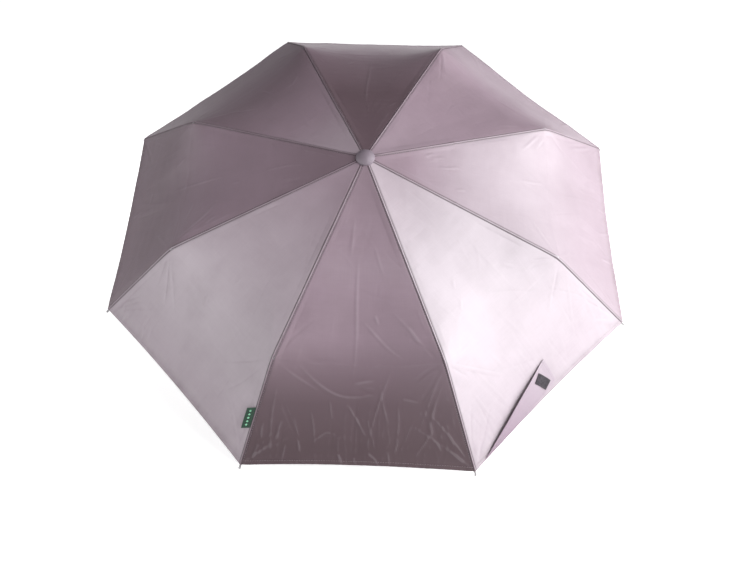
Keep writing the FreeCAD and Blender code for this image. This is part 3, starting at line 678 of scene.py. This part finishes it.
def satin_cloth(name, colour, dark, pale_tone):
    """Thin satin-faced umbrella cloth: fine weave, slubs, painted sheen and painted shade by panel, crease
    ridges paler as wear and painted highlight, painted shade in crease valleys and seam grooves, dirt in
    seams and hem.
    """
    material, bench, shader = new_finish(
        name, sheen_weight=0.12, sheen_roughness=0.4, specular_ior_level=0.5)
    shader.inputs["Sheen Tint"].default_value = (1.0, 0.93, 0.98, 1.0)
    cut = bench.add("ShaderNodeUVMap", uv_map="cut").outputs["UV"]
    place = bench.own_place()
    weave = place_group(bench, WOVEN, Vector=cut, Threads_per_metre=1500.0, Slub=0.6)
    seam = attribute(bench, "seam_shade")
    hem = attribute(bench, "hem_shade")
    crease = attribute(bench, "crease")
    # painted sheen and painted shade by panel: mixes from the dark colour through the base colour to the pale
    # one
    painted_light = attribute(bench, "painted_sheen_and_shade")
    base = bench.mix(bench.ramp(painted_light, 0.0, 0.45), dark, colour)
    # pale colour where the panel tone is high: painted sheen
    base = bench.mix(bench.ramp(painted_light, 0.45, 1.0), base, pale_tone)
    base = bench.tint(base, bench.ramp(weave["Shade"], 0.9, 0.1), 0.12, dark)
    cloud = bench.ramp(bench.noise(place, 7.0, 4.0, 0.55), 0.3, 0.7)
    base = bench.tint(base, cloud, 0.08, dark)
    # crease ridges tinted paler, as wear and painted highlight; crease valleys tinted darker: painted shade
    base = bench.tint(base, bench.ramp(crease, 0.05, 0.6), 0.11, pale_tone)
    base = bench.tint(base, bench.ramp(crease, -0.05, -0.6), 0.15, dark)
    where = bench.math("MAXIMUM", seam, hem)
    grime = place_group(bench, GRIME, Vector=place, Size=16.0, Where=where, Amount=0.45)["Mask"]
    base = bench.tint(base, grime, 0.6, rgb(92, 76, 80))
    # seam grooves darkened almost to black: painted shade
    base = bench.tint(base, seam, 0.82, (0.036, 0.022, 0.030, 1))
    rough = bench.ramp(weave["Shade"], 0.0, 1.0, 0.40, 0.50)
    rough = bench.math("MULTIPLY_ADD", grime, 0.2, rough)
    bench.surface(shader, base, rough, 0.22, 0.00012, weave["Height"])
    return material


def metal_finish(name, colour, roughness, lines, dirt):
    material, bench, shader = new_finish(name, metallic=1.0)
    place = bench.own_place()
    drawn = place_group(bench, DRAWN, Vector=place, Lines=lines, Roughness=roughness)
    rub = place_group(bench, EDGE_RUB, Vector=place, Radius=0.0005, Size=260.0)["Mask"]
    grime = place_group(bench, GRIME, Vector=place, Size=60.0, Where=drawn["Dull"], Amount=dirt)["Mask"]
    light = tuple(min(1.0, c * 1.35) for c in colour[:3]) + (1.0,)
    base = bench.mix(rub, colour, light)
    base = bench.mix(grime, base, rgb(70, 62, 58))
    rough = bench.math("MULTIPLY_ADD", grime, 0.3, drawn["Roughness"])
    bench.surface(shader, base, rough, 0.25, 0.00006, drawn["Height"])
    return material


def moulded_finish(name, colour, roughness, grain, pale_tone, dust=0.25):
    material, bench, shader = new_finish(name, specular_ior_level=0.45)
    place = bench.own_place()
    skin = place_group(bench, MOULDED, Vector=place, Grain=grain, Roughness=roughness)
    rub = place_group(bench, EDGE_RUB, Vector=place, Radius=0.0006, Size=240.0)["Mask"]
    grime = place_group(bench, GRIME, Vector=place, Size=40.0, Where=skin["Scuff"], Amount=dust)["Mask"]
    base = bench.tint(colour, rub, 0.7, pale_tone)
    base = bench.mix(grime, base, rgb(120, 112, 110))
    rough = bench.math("MULTIPLY_ADD", rub, 0.12, skin["Roughness"])
    bench.surface(shader, base, rough, 0.3, 0.00008, skin["Height"])
    return material


# base, dark and pale tones of the cloth: the dark one carries painted shade and the pale one painted sheen,
# by panel
CANOPY_CLOTH = satin_cloth("canopy_satin", (0.276, 0.204, 0.247, 1), (0.066, 0.038, 0.046, 1),
                           (0.505, 0.450, 0.492, 1))
TOP_CAP = moulded_finish("cap_satin_plastic", rgb(118, 107, 117), 0.48, 900.0, rgb(165, 153, 161))
BLACK_PLASTIC = moulded_finish("black_moulding", rgb(30, 29, 31), 0.5, 1300.0, rgb(84, 82, 82))
BUTTON = moulded_finish("button_moulding", rgb(92, 92, 95), 0.3, 1800.0, rgb(150, 150, 150))
GRIP = moulded_finish("soft_touch_grip", rgb(38, 36, 39), 0.72, 1100.0, rgb(92, 88, 88), 0.4)
TUBE = metal_finish("plated_tube", (0.66, 0.66, 0.67, 1), 0.2, 700.0, 0.25)
RIB_METAL = metal_finish("zinc_plated_rib", (0.40, 0.40, 0.41, 1), 0.38, 1100.0, 0.45)
WIRE = metal_finish("drawn_wire", (0.5, 0.5, 0.5, 1), 0.3, 1500.0, 0.3)
TIP_METAL = metal_finish("nickel_tip", (0.42, 0.41, 0.42, 1), 0.34, 1300.0, 0.35)

NODE_FINISH = {
    "top_cap": TOP_CAP, "crown": BLACK_PLASTIC, "runner": BLACK_PLASTIC, "crown_wire": WIRE,
    "runner_wire": WIRE, "runner_button": BUTTON, "handle": GRIP, "upper_tube": TUBE,
    "middle_tube": TUBE, "lower_tube": TUBE,
}


def finish_frame():
    """Gives every part of the frame its own finish."""
    for name, node in frame["nodes"].items():
        kind = name.rstrip("12345678").rstrip("_")
        finish = NODE_FINISH.get(name) or (TIP_METAL if kind == "tip" else RIB_METAL)
        if not node.material_slots:
            node.data.materials.append(finish)
        for slot in node.material_slots:
            slot.material = finish


finish_frame()

# --- the canopy
SECTION_BODY = {"top": "top_rib", "middle": "middle_rib", "tail": "tail_rib"}
SIDES = {"before": -1, "after": 1}


def fold_with_rib(piece, rib, section, side):
    """Rides on one bar of a rib, on its own copy of the mesh."""
    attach(piece, f"{SECTION_BODY[section]}_{rib}")
    high, low = (CLOTH_KNEE, CLOTH_CORNER) if section == "tail" else ((CLOTH_HOLE, CLOTH_APEX), CLOTH_KNEE)

    def on_rib(number, place):
        azimuth = rib_azimuth(number)
        return np.array([place[0] * math.cos(azimuth), place[0] * math.sin(azimuth), place[1]])

    start, end = on_rib(rib, high), on_rib(rib, low)
    along = unit(end - start)
    across = on_rib(rib + SIDES[side], low) - end
    across -= (across @ along) * along
    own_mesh(piece)


CREASE_TINT = 3.0
SEAM_SHADE_AT, SEAM_SHADE_WIDTH = 1.7, 1.0
HEM_SHADE_REACH = 16
for rib in RIBS:
    for section in SECTIONS:
        petal = petal_section(rib, section)
        seam_column = petal["ridge"].shape[1] // 2
        for side, part in (("before", slice(0, seam_column + 1)), ("after", slice(seam_column, None))):
            made = {key: value[:, part] for key, value in petal.items()}
            masks = {
                # crease mask from the relief's curvature: ridges for the paler tint, valleys for painted
                # shade
                "crease": np.clip(made["ridge"] * CREASE_TINT, -1, 1),
                "seam_shade": np.exp(-(((made["seam"] - SEAM_SHADE_AT) / SEAM_SHADE_WIDTH) ** 2)),
                "hem_shade": np.clip(1 - made["to_hem"] / HEM_SHADE_REACH, 0, 1),
                # painted sheen and painted shade of each gore
                "painted_sheen_and_shade": made["painted_light"],
            }
            cloth = shell(f"canopy_{section}_{rib}_{side}", made["points"], made["normals"],
                          made["thickness"], masks, made["uv"])
            cloth.data.materials.append(CANOPY_CLOTH)
            fold_with_rib(cloth, rib, section, side)
            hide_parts(f"canopy_panel_{gores_of(rib)[side == 'after']}")

# --- sewn details
HEM_STITCH = 6.5                 # up from the hem
SEAM_STITCH = 2.4                # beside the seam
STITCH_RISE = 0.12
STITCH_PITCH = 3.8
STITCH_LENGTH = 2.7
THREAD = 0.42


def stitch_tree():
    """Geometry nodes: one short bulging thread on every pitch of a line of sewing."""
    tree = bpy.data.node_groups.new("running_stitch", "GeometryNodeTree")
    for label, kind, default in (("Sewing line", "Geometry", None), ("Pitch", "Float", 0.0038),
                                 ("Stitch length", "Float", 0.0027), ("Thread", "Float", 0.0004),
                                 ("Unevenness", "Float", 0.12), ("Seed", "Int", 7),
                                 ("Finish", "Material", None)):
        socket = tree.interface.new_socket(label, in_out="INPUT", socket_type="NodeSocket" + kind)
        if default is not None:
            socket.default_value = default
    tree.interface.new_socket("Stitches", in_out="OUTPUT", socket_type="NodeSocketGeometry")
    bench = Bench(tree)
    given = tree.nodes.new("NodeGroupInput").outputs
    result = tree.nodes.new("NodeGroupOutput").inputs
    line = bench.add("GeometryNodeMeshToCurve", inputs={"Mesh": given["Sewing line"]}).outputs[0]
    spaced = bench.add("GeometryNodeResampleCurve", mode="LENGTH",
                       inputs={"Curve": line, "Length": given["Pitch"]}).outputs[0]
    half = bench.math("MULTIPLY", given["Stitch length"], 0.5)
    start = bench.add("ShaderNodeCombineXYZ", inputs={0: bench.math("MULTIPLY", half, -1.0)}).outputs[0]
    end = bench.add("ShaderNodeCombineXYZ", inputs={0: half}).outputs[0]
    thread = bench.add("GeometryNodeCurvePrimitiveLine", inputs={"Start": start, "End": end}).outputs[0]
    thread = bench.add("GeometryNodeResampleCurve", inputs={"Curve": thread, "Count": 3}).outputs[0]
    along = bench.add("GeometryNodeSplineParameter").outputs["Factor"]
    bulge = bench.math("SINE", bench.math("MULTIPLY_ADD", along, 2.2, 0.47))
    ring = bench.add("GeometryNodeCurvePrimitiveCircle", inputs={
        "Resolution": 5, "Radius": bench.math("MULTIPLY", given["Thread"], 0.5)}).outputs[0]
    body = bench.add("GeometryNodeCurveToMesh", inputs={
        "Curve": thread, "Profile Curve": ring, "Scale": bulge, "Fill Caps": True}).outputs[0]
    tangent = bench.add("GeometryNodeInputTangent").outputs[0]
    turn = bench.add("FunctionNodeAlignRotationToVector", axis="X", inputs={"Vector": tangent}).outputs[0]
    uneven = bench.add("FunctionNodeRandomValue", data_type="FLOAT", inputs={
        2: bench.math("SUBTRACT", 1.0, given["Unevenness"]),
        3: bench.math("ADD", 1.0, given["Unevenness"]), "Seed": given["Seed"]}).outputs[1]
    placed = bench.add("GeometryNodeInstanceOnPoints", inputs={
        "Points": spaced, "Instance": body, "Rotation": turn, "Scale": uneven}).outputs[0]
    solid = bench.add("GeometryNodeRealizeInstances", inputs={0: placed}).outputs[0]
    done = bench.add("GeometryNodeSetMaterial", inputs={"Geometry": solid, "Material": given["Finish"]})
    bench.links.new(done.outputs[0], result["Stitches"])
    return tree


STITCHES = stitch_tree()


def sew(name, lines, finish, seed):
    """Bakes stitches along lines of row frame points into one plain mesh."""
    vertices, edges = [], []
    for line in lines:
        edges += [(len(vertices) + k, len(vertices) + k + 1) for k in range(len(line) - 1)]
        vertices += [tuple(point) for point in line]
    mesh = bpy.data.meshes.new(name + "_line")
    mesh.from_pydata(vertices, edges, [])
    path = in_scene(name + "_line", mesh)
    modifier = path.modifiers.new("stitches", "NODES")
    modifier.node_group = STITCHES
    socket = {item.name: item.identifier for item in STITCHES.interface.items_tree
              if item.in_out == "INPUT"}
    for label, value in (("Pitch", STITCH_PITCH * MM), ("Stitch length", STITCH_LENGTH * MM),
                         ("Thread", THREAD * MM), ("Seed", seed), ("Finish", finish)):
        modifier[socket[label]] = value
    graph = bpy.context.evaluated_depsgraph_get()
    baked = bpy.data.meshes.new_from_object(path.evaluated_get(graph), depsgraph=graph)
    bpy.data.objects.remove(path)
    baked.shade_smooth()
    return in_scene(name, baked)


def thread_finish(name, colour):
    material, bench, shader = new_finish(name, sheen_weight=0.3, specular_ior_level=0.4)
    place = bench.own_place()
    twist = bench.noise(bench.stretch(place, (2600, 2600, 2600)), 1.0, 2.0)
    tone = bench.mix(twist, colour, tuple(c * 0.72 for c in colour[:3]) + (1,))
    bench.surface(shader, tone, bench.ramp(twist, 0.2, 0.8, 0.55, 0.75), 0.3, 0.00005, twist)
    return material


THREAD_FINISH = thread_finish("polyester_thread", rgb(150, 134, 142))


def on_cloth(gore, w, m, lift):
    """Row frame points that lie a lift off the cloth's outer face."""
    w, m = np.asarray(w, float), np.asarray(m, float)
    away = cloth_thickness(hem_distance(w, m)) + lift
    return to_row(gore_point(gore, w, m) + gore_normal(gore, w, m) * away[..., None])


def seam_line(gore, side, low, high):
    reach = np.arange(low, high, 3.0)
    m = reach * math.cos(HALF_GORE) + SEAM_STITCH * math.sin(HALF_GORE)
    w = side * (reach * math.sin(HALF_GORE) - SEAM_STITCH * math.cos(HALF_GORE))
    return on_cloth(gore, w, m, STITCH_RISE)


def hem_line(gore, side):
    share = np.linspace(0.012, 0.985, 60) * side
    m = hem_at(share) - HEM_STITCH * RIM_COSINE
    return on_cloth(gore, share * m * math.tan(HALF_GORE), m, STITCH_RISE)


SECTION_REACH = {"top": (18, FIRST_JOINT[0]), "middle": (FIRST_JOINT[0] + 2, KNEE[0]),
                 "tail": (KNEE[0] + 2, CLOTH_CORNER[0] - 8)}
for rib in RIBS:
    for section in SECTIONS:
        low, high = SECTION_REACH[section]
        for side, gore in zip(SIDES, gores_of(rib)):
            lines = [seam_line(gore, -SIDES[side], low, high)]
            if section == "tail":
                lines.append(hem_line(gore, -SIDES[side]))
            stitches = sew(f"stitches_{section}_{rib}_{side}", lines, THREAD_FINISH,
                           seed=10 * rib + len(lines))
            fold_with_rib(stitches, rib, section, side)

# --- closing strap and sewn-in label
STRAP_GORE, STRAP_RIB = 2, 2
STRAP_ROOT = (-159.0, 1.0)       # along the hem from its middle, up the cloth from the hem
STRAP_BEND = (-60.0, 1.5)
STRAP_LOW = (17.0, 8.5)
STRAP_HIGH = (17.0, 54.0)
STRAP_THICKNESS = 0.8
STRAP_LIFT, STRAP_RISE = 5.5, 1.2
RIBBON_CUT = (0.045, 0.2)         # metres of weave across and along a band
PATCH_THICKNESS = 0.9
PATCH_CORNERS = ((-19.6, 35.0), (-4.0, 43.0), (-8.4, 10.5), (8.0, 17.5))


def strap_place(u, v):
    """Strap's way along (u) and across (v, 0 at the hem) as a place on the gore, and its lift."""
    root, bend, low, high = (np.array(p) for p in (STRAP_ROOT, STRAP_BEND, STRAP_LOW, STRAP_HIGH))
    u, v = u[..., None], v[..., None]
    outer = (1 - u) ** 2 * root + 2 * u * (1 - u) * (bend + (bend - (root + low) / 2)) + u**2 * low
    inner = root + (high - root) * u + np.concatenate([0 * u, 3.0 * np.sin(np.pi * u)], -1)
    at = outer + (inner - outer) * v
    u, v = u[..., 0], v[..., 0]
    lift = 1.1 + STRAP_LIFT * np.sin(np.pi * np.clip(u * 1.12 - 0.04, 0, 1)) ** 0.8 * v**1.6
    lift += 0.8 * np.sin(np.pi * v) * u + 0.25 * np.sin(14 * u + 3 * v) * v
    share = np.clip(at[..., 0] / (HEM_LINE * math.tan(HALF_GORE)), -1, 1)
    m = hem_at(share) - at[..., 1] * RIM_COSINE
    return at[..., 0], m, lift


def strap_points(u, v, extra=0.0):
    w, m, lift = strap_place(u, v)
    return off_rim(STRAP_GORE, w, m, STRAP_RISE, lift + extra)


def ribbon(name, at, rows, columns, thickness, finish):
    """Closed thin band from a rule at(u, v, extra) that gives its underside."""
    u, v = np.meshgrid(rows, columns, indexing="ij")
    points = at(u, v, 0 * u)
    normals = np.cross(np.gradient(points, axis=0), np.gradient(points, axis=1))
    normals /= np.maximum(np.linalg.norm(normals, axis=-1, keepdims=True), 1e-9)
    if normals[..., 2].mean() < 0:
        normals = -normals
    cut = np.stack([RIBBON_CUT[0] * v, RIBBON_CUT[1] * u], -1)
    piece = shell(name, points, normals, np.full(u.shape, thickness), {
        # painted sheen and painted shade: the band is drawn paler along its length
        "crease": 0 * u, "seam_shade": 0 * u, "hem_shade": 0 * u, "painted_sheen_and_shade": 0.34 + 0.42 * u}, cut)
    piece.data.materials.append(finish)
    return piece


# base, dark and pale tones of the strap: the dark one carries painted shade and the pale one painted sheen
# along the band
STRAP_CLOTH = satin_cloth("strap_satin", (0.276, 0.204, 0.260, 1), (0.066, 0.038, 0.046, 1),
                          (0.505, 0.450, 0.500, 1))


def hook_finish():
    """Dark woven hook tape: rows of tiny stiff loops."""
    material, bench, shader = new_finish("hook_tape", sheen_weight=0.15, specular_ior_level=0.3)
    place = bench.own_place()
    loops = bench.add("ShaderNodeTexVoronoi", inputs={"Vector": place, "Scale": 1100.0}).outputs["Distance"]
    worn = bench.ramp(bench.noise(place, 180.0, 3.0), 0.4, 0.65)
    tone = bench.mix(bench.ramp(loops, 0.1, 0.6), rgb(60, 54, 62), rgb(34, 30, 36))
    tone = bench.tint(tone, worn, 0.35, rgb(80, 74, 82))
    bench.surface(shader, tone, bench.ramp(loops, 0.0, 0.6, 0.6, 0.9), 0.8, 0.0004, loops)
    return material


def strap_share(spot):
    """Share along and across the strap of a place on the gore."""
    u, v = np.meshgrid(np.linspace(0, 1, 401), np.linspace(0.03, 0.97, 161), indexing="ij")
    w, m, _ = strap_place(u, v)
    share = np.clip(w / (HEM_LINE * math.tan(HALF_GORE)), -1, 1)
    up = (hem_at(share) - m) / RIM_COSINE
    best = np.argmin((w - spot[0]) ** 2 + (up - spot[1]) ** 2)
    return np.array([u.flat[best], v.flat[best]])


PATCH_SHARES = [strap_share(spot) for spot in PATCH_CORNERS]


def patch_share(a, b):
    """Place on the strap of the hook patch's own shares: a along its short side, b along its long one."""
    a, b = np.asarray(a, float)[..., None], np.asarray(b, float)[..., None]
    near, far, low, end = PATCH_SHARES
    at = (near * (1 - a) + far * a) * (1 - b) + (low * (1 - a) + end * a) * b
    return at[..., 0], at[..., 1]


def on_strap_top(a, b, extra):
    u, v = patch_share(a, b)
    return strap_points(u, v, STRAP_THICKNESS + 0.15 + extra)


strap = ribbon("strap_cloth", strap_points, np.linspace(0.02, 1, 110), np.linspace(0, 1, 22),
               STRAP_THICKNESS, STRAP_CLOTH)
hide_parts("closing_strap")
patch = ribbon("hook_patch", on_strap_top, np.linspace(0, 1, 14), np.linspace(0, 1, 18),
               PATCH_THICKNESS, hook_finish())


def sewing_run(at, fixed, along, low, high, extra):
    """A line of sewing at a fixed share across or along a strip."""
    run, still = np.linspace(low, high, 60), np.full(60, fixed)
    u, v = (run, still) if along else (still, run)
    return to_row(at(u, v, np.full(60, extra)))


# shares of the strip at which the sewing runs
STRAP_SEWN, STRAP_END_SEWN, PATCH_SEWN = (0.09, 0.93), 0.975, (0.07, 0.93)
strap_top, patch_top = STRAP_THICKNESS + 0.1, PATCH_THICKNESS + 0.05
strap_sewing = sew("strap_stitches", [
    *(sewing_run(strap_points, edge, True, 0.08, STRAP_END_SEWN, strap_top) for edge in STRAP_SEWN),
    sewing_run(strap_points, STRAP_END_SEWN, False, *STRAP_SEWN, strap_top)], THREAD_FINISH, seed=91)
patch_sewing = sew("patch_stitches", [
    sewing_run(on_strap_top, edge, along, *PATCH_SEWN, patch_top)
    for along in (True, False) for edge in PATCH_SEWN],
    thread_finish("dark_thread", rgb(52, 44, 50)), seed=92)
for piece in (strap, patch, strap_sewing, patch_sewing):
    fold_with_rib(piece, STRAP_RIB, "tail", "after")

LABEL_GORE, LABEL_RIB = 8, 1
LABEL_LOW, LABEL_LONG, LABEL_WIDE, LABEL_GAP = 60.0, 33.0, 14.0, 1.5
LABEL_THICKNESS, LABEL_RISE = 0.9, 1.0


def label_points(u, v, extra=0.0):
    """The tab: u up along the seam, v from the seam to the folded edge."""
    up = LABEL_LOW + LABEL_LONG * u
    reach_line = HEM_LINE - up * RIM_COSINE
    w = reach_line * math.tan(HALF_GORE) - LABEL_GAP / math.cos(HALF_GORE) - 0.8 * LABEL_WIDE * v
    m = reach_line + 0.6 * LABEL_WIDE * v
    lift = 0.8 + 1.6 * v**1.5 + 0.3 * np.sin(5 * u) * v + extra
    return off_rim(LABEL_GORE, w, m, LABEL_RISE, lift)


def label_finish():
    """Dark green damask tape: fine ribs across, lighter worn edges."""
    material, bench, shader = new_finish("label_damask", sheen_weight=0.25, specular_ior_level=0.4)
    place = bench.own_place()
    cut = bench.add("ShaderNodeUVMap", uv_map="cut").outputs["UV"]
    weave = place_group(bench, WOVEN, Vector=cut, Threads_per_metre=2200.0, Slub=0.8)
    tone = bench.mix(bench.ramp(weave["Shade"], 0.2, 0.8), rgb(8, 44, 30), rgb(14, 66, 44))
    worn = bench.ramp(bench.noise(place, 300.0, 4.0), 0.55, 0.75)
    tone = bench.tint(tone, worn, 0.3, rgb(60, 104, 84))
    rough = bench.ramp(weave["Shade"], 0.0, 1.0, 0.55, 0.7)
    bench.surface(shader, tone, rough, 0.4, 0.0001, weave["Height"])
    return material


def label_marks():
    """A row of plain embroidered lozenges along the tab's middle."""
    vertices, faces = [], []
    for k in range(5):
        middle = 0.16 + 0.17 * k
        ring = [(middle - 0.055, 0.5), (middle, 0.34), (middle + 0.055, 0.5), (middle, 0.66)]
        for extra in (LABEL_THICKNESS, LABEL_THICKNESS + 0.28):
            shrink = 1.0 if extra == LABEL_THICKNESS else 0.72
            for u, v in ring:
                u, v = middle + (u - middle) * shrink, 0.5 + (v - 0.5) * shrink
                vertices.append(label_points(np.array(u), np.array(v), extra))
        first = 8 * k
        faces += [(first + 4, first + 5, first + 6, first + 7), (first + 3, first + 2, first + 1, first)]
        faces += [(first + j, first + (j + 1) % 4, first + 4 + (j + 1) % 4, first + 4 + j)
                  for j in range(4)]
    piece = new_mesh_object("label_marks", to_row(np.array(vertices)).tolist(), faces)
    outward = piece.data.polygons[0].normal
    if outward @ Vector(turn_to_row([0, 0, 1])) < 0:
        piece.data.flip_normals()
    piece.data.materials.append(thread_finish("pale_green_thread", rgb(150, 226, 186)))
    return piece


label = ribbon("label_tab", label_points, np.linspace(0, 1, 26), np.linspace(0, 1, 14),
               LABEL_THICKNESS, label_finish())
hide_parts("label")
marks = label_marks()
for piece in (label, marks):
    fold_with_rib(piece, LABEL_RIB, "tail", "before")

# --- floor, light and camera
# turn and height in degrees, power in watts
SOFTBOXES = ((90, 12, 31.7), (45, 12, 25.9), (72, 38, 22.5), (36, 38, 13.0), (315, 12, 13.0),
             (270, 12, 10.6), (108, 38, 10.4), (135, 12, 4.6), (225, 12, 2.5), (180, 12, 2.4))
SOFTBOX_SIZE, SOFTBOX_DISTANCE, SOFTBOX_AIM = 0.9, 2.2, (0, 0, 0.3)


def softbox(turn, height, power):
    """A square soft light, turned from the front towards the right."""
    name = f"soft_{turn}_{height}"
    turn, height = math.radians(turn), math.radians(height)
    light = bpy.data.lights.new(name, "AREA")
    light.shape, light.size = "SQUARE", SOFTBOX_SIZE
    light.energy = power
    lamp = in_scene(name, light)
    way = Vector((math.cos(height) * math.sin(turn), -math.cos(height) * math.cos(turn), math.sin(height)))
    lamp.location = Vector(SOFTBOX_AIM) + SOFTBOX_DISTANCE * way
    lamp.rotation_euler = (-way).to_track_quat("-Z", "Y").to_euler()


def studio():
    """White paper underneath, a white room behind, and a ring of soft lights."""
    bpy.ops.mesh.primitive_circle_add(vertices=96, radius=14, fill_type="NGON", location=(0, 0, 0))
    floor = bpy.context.object
    floor.name = "floor"
    paper, bench, shader = new_finish("white_paper", roughness=0.9)
    place = bench.own_place()
    tone = bench.mix(bench.noise(place, 3.0), (0.93, 0.93, 0.93, 1), (0.95, 0.95, 0.95, 1))
    bench.links.new(tone, shader.inputs["Base Color"])
    away = bench.add("ShaderNodeVectorMath", operation="LENGTH", inputs={0: place}).outputs["Value"]
    seen = bench.add("ShaderNodeLightPath").outputs["Is Camera Ray"]
    glow = bench.math("MULTIPLY", seen, bench.ramp(away, 0.35, 1.1, 0.62, 1.05))
    shader.inputs["Emission Color"].default_value = (1, 1, 1, 1)
    bench.links.new(glow, shader.inputs["Emission Strength"])
    floor.data.materials.append(paper)

    world = bpy.data.worlds.new("studio")
    bpy.context.scene.world = world
    world.use_nodes = True
    sky = Bench(world.node_tree)
    background = world.node_tree.nodes["Background"]
    background.inputs["Color"].default_value = (1.0, 1.0, 1.0, 1)
    seen = sky.add("ShaderNodeLightPath").outputs["Is Camera Ray"]
    sky.links.new(sky.ramp(seen, 0.0, 1.0, 0.03, 1.05), background.inputs["Strength"])

    for turn, height, power in SOFTBOXES:
        softbox(turn, height, power)


CAMERA_DISTANCE = 1.313712        # metres from the rim's centre
CAMERA_HEIGHT_ANGLE = math.radians(58.987)
CAMERA_AZIMUTH = math.radians(3.478)
CAMERA_ROLL = math.radians(-1.659)
CAMERA_PAN = math.radians(-0.478)
CAMERA_TILT = math.radians(-4.392)
CAMERA_LENS = 34.43


def turned(angle, first, second):
    """Matrix of a turn in the plane of two axes."""
    matrix = np.eye(3)
    matrix[first, first] = matrix[second, second] = math.cos(angle)
    matrix[first, second], matrix[second, first] = math.sin(angle), -math.sin(angle)
    return matrix


def place_camera():
    """Looks at the open canopy from above its front, with small turns about its own axes."""
    out = np.array([math.sin(CAMERA_AZIMUTH) * math.cos(CAMERA_HEIGHT_ANGLE),
                    -math.cos(CAMERA_AZIMUTH) * math.cos(CAMERA_HEIGHT_ANGLE),
                    math.sin(CAMERA_HEIGHT_ANGLE)])
    right = np.cross(-out, [0, 0, 1])
    right /= np.linalg.norm(right)
    level = np.stack([right, np.cross(right, -out), out])
    turns = turned(CAMERA_ROLL, 0, 1) @ turned(CAMERA_TILT, 1, 2) @ turned(CAMERA_PAN, 2, 0)
    axes = turn_to_row(turns @ level)
    spot = to_row(out * CAMERA_DISTANCE / MM)
    camera = in_scene("camera", bpy.data.cameras.new("camera"))
    camera.data.lens = CAMERA_LENS
    camera.data.sensor_width = 36
    camera.matrix_world = Matrix.Translation(Vector(spot)) @ Matrix(axes.T.tolist()).to_4x4()
    bpy.context.scene.camera = camera


studio()
place_camera()
bpy.context.scene.view_settings.view_transform = "Standard"
